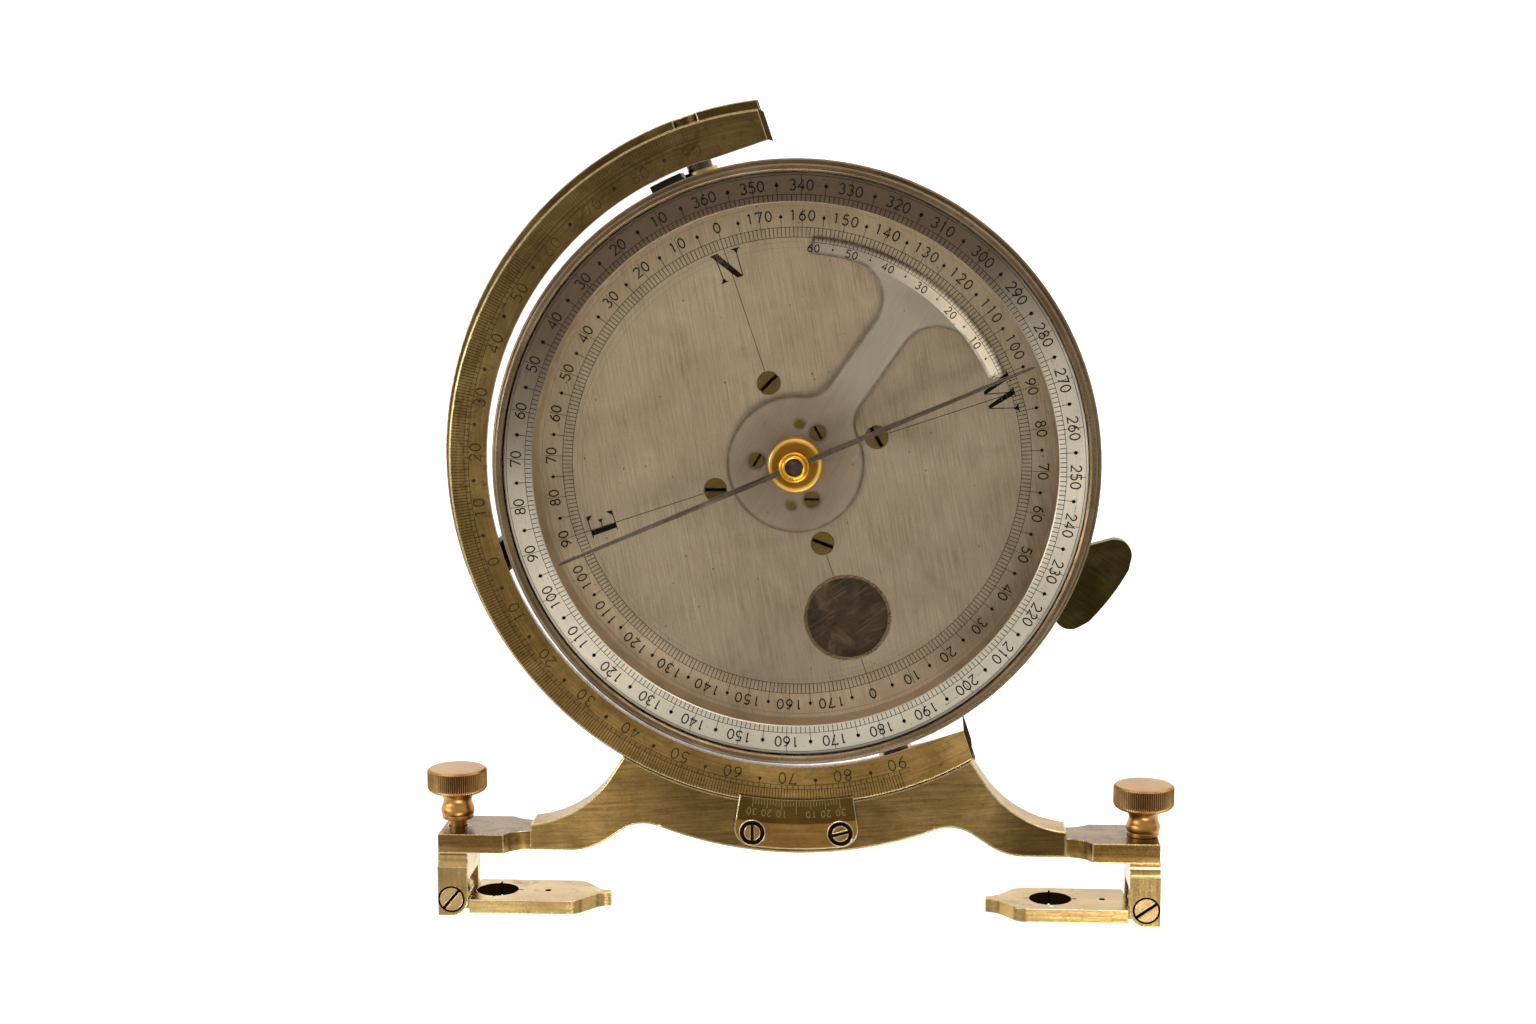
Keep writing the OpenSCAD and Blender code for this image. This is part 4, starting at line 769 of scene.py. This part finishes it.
# Capitals in mm, in the order of their strokes: thin lines, hatched stems and filled corners
LETTER_N = [
    ("thin", (-2.35, 0.2), (-2.35, 6.7)), ("thin", (2.35, 0.3), (2.35, 6.9)),
    ("stem", (-3.05, 6.95), (-1.75, 6.95), (1.05, 0.1), (2.3, 0.1)),
    ("thin", (-3.3, 6.97), (-1.5, 6.97)), ("thin", (-3.25, 0.0), (-1.35, 0.0)),
    ("thin", (1.3, 6.97), (3.3, 6.97)),
    ("fill", (-2.35, 1.15), (-3.0, 0.0), (-1.7, 0.0)), ("fill", (2.35, 5.8), (3.05, 6.97), (1.65, 6.97)),
]
LETTER_E = [
    ("stem", (-2.0, 0.0), (-1.05, 0.0), (-2.0, 6.4), (-1.05, 6.4)),
    ("thin", (-2.7, 6.4), (2.25, 6.4)), ("thin", (-2.7, 0.0), (2.3, 0.0)),
    ("thin", (-1.0, 3.3), (0.9, 3.3)),
    ("fill", (2.35, 4.9), (2.25, 6.45), (1.1, 6.45)), ("fill", (2.4, 1.5), (2.3, -0.05), (1.1, -0.05)),
    ("fill", (0.15, 3.3), (1.0, 3.95), (1.0, 2.65)),
]
LETTER_W = [
    ("stem", (-4.0, 7.0), (-2.85, 7.0), (-1.85, 0.1), (-1.3, 0.1)), ("thin", (-1.35, 0.0), (0.35, 6.9)),
    ("stem", (-0.35, 7.0), (0.75, 7.0), (1.75, 0.1), (2.3, 0.1)), ("thin", (2.25, 0.0), (3.85, 6.9)),
    ("thin", (-4.5, 7.0), (-2.2, 7.0)), ("thin", (-0.8, 7.0), (1.3, 7.0)),
    ("thin", (2.9, 7.0), (4.7, 7.0)),
    ("fill", (-3.7, 5.9), (-4.3, 7.0), (-2.6, 7.0)), ("fill", (3.8, 5.8), (3.1, 7.0), (4.5, 7.0)),
]

# Raised ring: 0 to 360 anticlockwise from north. Each scale's lines, dots and digits have radii in mm
RING_EDGE, RING_IN, RING_FIVE, RING_OUT = 63.85, 65.4, 68.35, 70.0
RING_DOT, RING_DIGIT = 67.6, 67.65
ring = Engraving(Z_RING)
ring.circle(RING_OUT, 0.13)
ring.circle(RING_IN, 0.13)
for d in range(360):
    ring.tick(NORTH + d, RING_EDGE, RING_IN, 0.18)
for d in range(5, 361, 5):
    if d % 10:
        ring.tick(NORTH + d, RING_IN, RING_FIVE, 0.15)
        ring.dot(RING_DOT, NORTH + d, 0.95)
    else:
        ring.tick(NORTH + d, RING_IN, RING_OUT, 0.14)
        ring.label(str(d), RING_DIGIT, NORTH + d, high=2.5, pen=0.33, gap=0.24 if d < 100 else 0.2)
ring.piece("ring_scale", "box", ring_ink)

# Dial plate: two half circles of 0 to 180, letters and cross lines
CROSS_IN, DIAL_IN, DIAL_OUT, DIAL_FIVE, DIAL_TEN, CROSS_PEN = 23.9, 55.1, 57.5, 60.7, 62.1, 0.16
DIAL_DOT, DIAL_DIGIT = 60.0, 60.35
dial = Engraving(Z_DIAL)
for r in (DIAL_OUT, DIAL_IN):
    dial.circle(r, 0.13)
for d in range(360):
    dial.tick(NORTH + d, DIAL_IN, DIAL_OUT, 0.17)
for d in range(0, 360, 5):
    if d % 10:
        dial.tick(NORTH + d, DIAL_OUT, DIAL_FIVE, 0.14)
        dial.dot(DIAL_DOT, NORTH + d, 0.85)
    else:
        dial.tick(NORTH + d, DIAL_OUT, DIAL_TEN, 0.12)
        dial.label(str(d % 180), DIAL_DIGIT, NORTH + d, high=2.45, pen=0.33)
dial.letter(LETTER_N, 47.4, NORTH)
dial.letter(LETTER_E, 47.1, EAST - 1.0)
dial.letter(LETTER_W, 48.9, WEST + 0.5)
for a in (NORTH, EAST, WEST):
    dial.tick(a, CROSS_IN, DIAL_IN, CROSS_PEN)
dial.tick(SOUTH, CROSS_IN, 29.3, CROSS_PEN)
dial.tick(SOUTH, 51.3, DIAL_IN, CROSS_PEN)
dial.piece("dial_scale", "box", ink)

# Faint circles on the dial, by radius and width
turned = Engraving(Z_DIAL)
for r, w in ((53.9, 0.10), (52.6, 0.08), (62.6, 0.12)):
    turned.circle(r, w)
turned.piece("dial_faint_circles", "box", faint_ink)


Z_VERNIER, BEVEL_DROP, BEVEL_WIDE = 58.4, 0.9, 4.3


def vernier_height(x, y):
    """Flat top of the inner vernier, then its bevel down to the edge."""
    return Z_VERNIER - max(0.0, math.hypot(x, y) - BEVEL_R) * BEVEL_DROP / BEVEL_WIDE


# Inner vernier: 0 to 60 minutes
VERN_0, VERN_SPAN, VERN_LINE = 24.2, 61.0, 54.0
VERN_STEP, VERN_DOT, VERN_DIGIT = VERN_SPAN / 60, 52.75, 52.65
vern = Engraving(vernier_height)
vern.circle(VERN_LINE, 0.11, VERN_0, VERN_0 + VERN_SPAN, 1.0)
for m in range(61):
    a = VERN_0 + m * VERN_STEP
    vern.tick(a, VERN_LINE, 55.4, 0.14)
    if m % 10 == 0 and m:
        vern.tick(a, 53.5, VERN_LINE, 0.08)
        vern.label(str(m), VERN_DIGIT, a, high=1.8, pen=0.26)
    elif m % 5 == 0 and m:
        vern.tick(a, 52.9, VERN_LINE, 0.07)
        vern.dot(VERN_DOT, a, 0.5)
vern.tick(VERN_0, 51.5, VERN_LINE, 0.1)
for side in (-1, 1):
    barb = [polar(53.4, VERN_0 + side * 0.75), polar(52.5, VERN_0), polar(51.9, VERN_0 + side * 0.6)]
    vern.stroke(barb, 0.12)
vern.piece("vernier_scale", "base", ring_ink)

# Limb, in half degrees: 0 in the middle, to 90 degrees at each trunnion, and worn at its upper end
LIMB_HALF, LIMB_WHOLE, LIMB_FIVE, LIMB_RIM = 82.3, 81.25, 80.4, 85.8
LIMB_DOT, LIMB_DIGIT = 80.0, 79.5
limb = Engraving(Z_FACE)
for r in (LIMB_HALF, LIMB_WHOLE):
    limb.circle(r, 0.12, EAST - 92, EAST + 92)
for h in range(-180, 181):
    a = EAST + h / 2
    worn = 0.45 if h < -110 else 1.0
    if h % 20 == 0:
        limb.tick(a, LIMB_WHOLE, LIMB_RIM, 0.18 * worn)
        limb.label(str(abs(h) // 2), LIMB_DIGIT, a, high=2.85, pen=0.29 * worn)
    elif h % 10 == 0:
        limb.tick(a, LIMB_FIVE, LIMB_RIM, 0.16 * worn)
        limb.dot(LIMB_DOT, a, 0.95)
    else:
        limb.tick(a, LIMB_HALF if h % 2 else LIMB_WHOLE, LIMB_RIM, 0.16 * worn)
limb.piece("limb_scale", "limb", limb_ink)


LIMB_BEVEL_R, LIMB_BEVEL_WIDE, LIMB_BEVEL_Z, LIMB_BEVEL_RISE = 84.9, 6.0, 56.45, 1.05


def limb_vernier_height(x, y):
    """The limb vernier's bevel, then its flat."""
    up = (math.hypot(x, y) - LIMB_BEVEL_R) / LIMB_BEVEL_WIDE
    return LIMB_BEVEL_Z + min(1.0, max(0.0, up)) * LIMB_BEVEL_RISE


# Limb vernier: 15 divisions each way from its middle, of which 60 would take 29 degrees
MIDDLE, PAIR_FOOT, PAIR_ONE, PAIR_FIVE, PAIR_MIDDLE, PAIR_DIGIT = 270, 85.15, 86.5, 87.4, 88.6, 88.5
pair = Engraving(limb_vernier_height)
for m in range(-15, 16):
    top = PAIR_ONE if m % 5 else PAIR_FIVE if m else PAIR_MIDDLE
    pair.tick(MIDDLE + m * 29.0 / 60, PAIR_FOOT, top, 0.13)
for m in (-15, -10, -5, 5, 10, 15):
    pair.label(str(2 * abs(m)), PAIR_DIGIT, MIDDLE - m * 29.0 / 60, high=1.6, pen=0.14, gap=0.28)
pair.piece("limb_vernier_scale", "frame", silver_line)


# Knurled thumb screws
def knurled(name, body, node):
    """The screw's turned profile with straight knurling cut into the head's rim.

    Its rows of radius and height, mm, run from the stem's end up to the middle of the head's top.
    """
    r, under, high, stem, cut_depth = 7.6, 8.4, 13.0, 10.8, 0.34
    swell, waist = (1.67, 2.2), (5.75, 4.6)
    join = math.degrees(math.atan2(waist[1] - swell[1], waist[0] - swell[0]))
    profile = [(0, -stem), (2.2, -stem), (2.2, 0.03), (3.9, 0.03), (4.0, 0.13), (4.0, 0.95), (3.92, 1.08)]
    profile += arc(*swell, 2.59, 2.59, -22, join, 10) + arc(*waist, 2.11, 2.11, 180 + join, 96, 14)[1:]
    profile += [(r - 1.02, 7.02), (r - 0.45, 7.46)]
    rim = [(r - 0.10, 7.96), (r - 0.02, under), (r - 0.02, high - 0.75), (r - 0.08, high - 0.5),
           (r - 0.6, high - 0.04), (r - 1.0, high - 0.01), (r * 0.5, high), (0, high)]
    teeth, per = 84, 4
    ring_n = teeth * per
    first = len(profile)
    cuts = {first: 0.7, first + 1: 1.0, first + 2: 1.0, first + 3: 0.8, first + 4: 0.15}
    profile += rim
    verts, faces, rows, knurl = [], [], [], []
    for i, (pr, pz) in enumerate(profile):
        if pr == 0:
            rows.append([len(verts)])
            verts.append((0.0, 0.0, pz))
            continue
        rows.append(list(range(len(verts), len(verts) + ring_n)))
        for k in range(ring_n):
            depth = cut_depth * cuts.get(i, 0.0) * (0.5 - 0.5 * math.cos(2 * math.pi * k / per)) ** 0.8
            t = 2 * math.pi * k / ring_n
            verts.append(((pr - depth) * math.cos(t), (pr - depth) * math.sin(t), pz))
    for i, (low, top) in enumerate(zip(rows, rows[1:])):
        for k in range(ring_n):
            j = (k + 1) % ring_n
            knurl.append(first <= i < first + 3)
            if len(low) == 1:
                faces.append((low[0], top[j], top[k]))
            elif len(top) == 1:
                faces.append((low[k], low[j], top[0]))
            else:
                faces.append((low[k], low[j], top[j], top[k]))
    lo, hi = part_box(node)
    x, z = (lo[0] + hi[0]) / 2, (lo[2] + hi[2]) / 2
    placed = [(x + vx * MM, hi[1] - high * MM + vz * MM, z - vy * MM) for vx, vy, vz in verts]
    mesh = new_mesh(name, placed, faces, thumb_brass, knurl_brass)
    for poly, cut_rim in zip(mesh.polygons, knurl):
        poly.material_index = int(cut_rim)
    mesh.shade_smooth()
    mesh.set_sharp_from_angle(angle=math.radians(28))
    obj = new_object(name, mesh)
    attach(obj, body)
    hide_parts(node)


knurled("thumb_screw_left_knurled", "left_thumb_screw", "thumb_screw_left")
knurled("thumb_screw_right_knurled", "right_thumb_screw", "thumb_screw_right")


def turned_piece(name, node, body, profile, material):
    """A piece turned about the pivot's axis from a closed profile of radius and height, mm."""
    verts, faces, count, sides = [], [], len(profile), 72
    for pr, pz in profile:
        for k in range(sides):
            px, py = polar(pr, 360 * k / sides)
            verts.append((px * MM, py * MM, pz * MM))
    for i in range(count):
        for k in range(sides):
            a, b, j = i * sides, (i + 1) % count * sides, (k + 1) % sides
            faces.append((a + k, a + j, b + j, b + k))
    mesh = new_mesh(name, verts, faces, material)
    mesh.shade_smooth()
    mesh.set_sharp_from_angle(angle=math.radians(40))
    obj = new_object(name, mesh)
    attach(obj, body)
    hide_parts(node)


# The needle's cap: a spigot, a flange with a bead, a groove, and a raised bead round the jewel
CAP_Z = 64.2
cap_profile = [(1.2, -1.4), (2.3, -1.4), (2.3, 0.0), (3.5, 0.0), (3.72, 0.2), (3.72, 0.62)]
cap_profile += arc(3.42, 0.72, 0.30, 0.30, 0, 150, 7) + [(3.08, 0.66), (2.98, 0.8), (2.96, 1.3)]
cap_profile += arc(2.54, 1.38, 0.42, 0.42, 0, 180, 9)
cap_profile += [(2.05, 1.30), (1.93, 1.28), (1.93, 0.7), (1.2, 0.7)]
turned_piece("needle_cap_turned", "needle_cap", "needle", [(pr, CAP_Z + pz) for pr, pz in cap_profile],
             cap_brass)


# Floor, world and lamps
def stage_face(name, corners, material):
    """A four-cornered sheet that isn't part of the object."""
    obj = new_object(name, new_mesh(name, corners, [(0, 1, 2, 3)], material))
    return obj


# The floor shows white to the camera and in the metal, and keeps the object's shadow
FLOOR_Z, FLOOR_HALF, FLOOR_GLOW = -0.075, 6.0, 0.52
paper = Shade("floor_paper")
path = paper.add("LightPath").outputs
bounced = paper.math("MAXIMUM", path["Is Glossy Ray"], path["Is Transmission Ray"])
seen = paper.math("MAXIMUM", paper.math("MULTIPLY", path["Is Camera Ray"], 1.2), bounced)
weave = paper.noise(paper.mm, 0.02, 3.0)
paper.set(Base_Color=paper.ramp(weave, (0.3, (0.80, 0.80, 0.80)), (0.7, (0.82, 0.82, 0.82))),
          Emission_Color=(1.0, 1.0, 1.0), Emission_Strength=paper.math("MULTIPLY", seen, FLOOR_GLOW),
          Roughness=0.9)
floor_turns = ((-1, -1), (1, -1), (1, 1), (-1, 1))
stage_face("floor", [(x * FLOOR_HALF, y * FLOOR_HALF, FLOOR_Z) for x, y in floor_turns], paper.mat)

# The studio's ceiling is dim where the top faces mirror it, and fades evenly to white at the sides
SHADE_FROM = (0.25, -0.30, 0.92)
SHADE_RAMP = ((0.12, 1.0), (0.60, 0.90), (0.86, 0.66), (0.98, 0.46))
DAYLIGHT, DAYLIGHT_STRENGTH = (1.0, 0.985, 0.96, 1), 0.62
world = bpy.data.worlds.new("studio")
bpy.context.scene.world = world
world.use_nodes = True
tree = world.node_tree
tree.nodes.clear()
out = tree.nodes.new("ShaderNodeOutputWorld")
both = tree.nodes.new("ShaderNodeMixShader")
lit = tree.nodes.new("ShaderNodeBackground")
shown = tree.nodes.new("ShaderNodeBackground")
lit.inputs[0].default_value = DAYLIGHT
lit.inputs[1].default_value = DAYLIGHT_STRENGTH
rays = tree.nodes.new("ShaderNodeLightPath")
most = [tree.nodes.new("ShaderNodeMath") for _ in range(2)]
for node in most:
    node.operation = "MAXIMUM"
tree.links.new(rays.outputs["Is Glossy Ray"], most[0].inputs[0])
tree.links.new(rays.outputs["Is Transmission Ray"], most[0].inputs[1])
tree.links.new(rays.outputs["Is Camera Ray"], most[1].inputs[0])
tree.links.new(most[0].outputs[0], most[1].inputs[1])
sky = tree.nodes.new("ShaderNodeTexCoord")
lean = tree.nodes.new("ShaderNodeVectorMath")
lean.operation = "DOT_PRODUCT"
lean.inputs[1].default_value = SHADE_FROM
tree.links.new(sky.outputs["Generated"], lean.inputs[0])
fade = tree.nodes.new("ShaderNodeValToRGB")
for at, grey in SHADE_RAMP:
    stop = fade.color_ramp.elements.new(at)
    stop.color = (grey, grey * (0.94 + 0.06 * grey), grey * (0.84 + 0.16 * grey), 1)
fade.color_ramp.elements.remove(fade.color_ramp.elements[-1])
fade.color_ramp.elements.remove(fade.color_ramp.elements[0])
fade.color_ramp.interpolation = "EASE"
tree.links.new(lean.outputs["Value"], fade.inputs[0])
white = tree.nodes.new("ShaderNodeMix")
white.data_type = "RGBA"
tree.links.new(rays.outputs["Is Camera Ray"], white.inputs[0])
tree.links.new(fade.outputs[0], white.inputs[6])
white.inputs[7].default_value = (1, 1, 1, 1)
tree.links.new(white.outputs[2], shown.inputs[0])
shown.inputs[1].default_value = 1.0
tree.links.new(most[1].outputs[0], both.inputs[0])
tree.links.new(lit.outputs[0], both.inputs[1])
tree.links.new(shown.outputs[0], both.inputs[2])
tree.links.new(both.outputs[0], out.inputs[0])


LAMP_AIM = (0.0, -0.01, 0.05)


def lamp(name, place, size, watts):
    """A soft white area lamp, aimed at the object."""
    data = bpy.data.lights.new(name, "AREA")
    data.shape = "RECTANGLE"
    data.size, data.size_y = size
    data.energy = watts
    obj = new_object(name, data)
    obj.location = place
    obj.rotation_euler = (Vector(LAMP_AIM) - Vector(place)).to_track_quat("-Z", "Y").to_euler()


CARD_FRONT, CARD_BACK, CARD_TOP = -0.55, 0.25, 0.5


def card(name, x, grey):
    """A matt card out of the picture that gives the metal something dark to mirror."""
    s = Shade(name + "_felt")
    nap = s.noise(s.mm, 0.05, 3.0)
    low, high = (grey, grey * 0.97, grey * 0.94), (grey * 1.1, grey * 1.07, grey)
    s.set(Base_Color=s.ramp(nap, (0.3, low), (0.7, high)), Roughness=0.95)
    corners = [(x, CARD_FRONT, 0.0), (x, CARD_BACK, 0.0), (x, CARD_BACK, CARD_TOP),
               (x, CARD_FRONT, CARD_TOP)]
    obj = stage_face(name, corners, s.mat)
    obj.visible_camera = False
    obj.visible_diffuse = False
    obj.visible_shadow = False


card("card_left", -1.3, 0.10)
card("card_right", 1.3, 0.10)
lamp("key", (0.25, -0.80, 0.95), (0.7, 0.5), 9.0)
lamp("left_strip", (-1.0, 0.1, 0.55), (0.3, 0.9), 5.0)
lamp("back_fill", (0.3, 1.0, 0.5), (0.9, 0.4), 4.0)
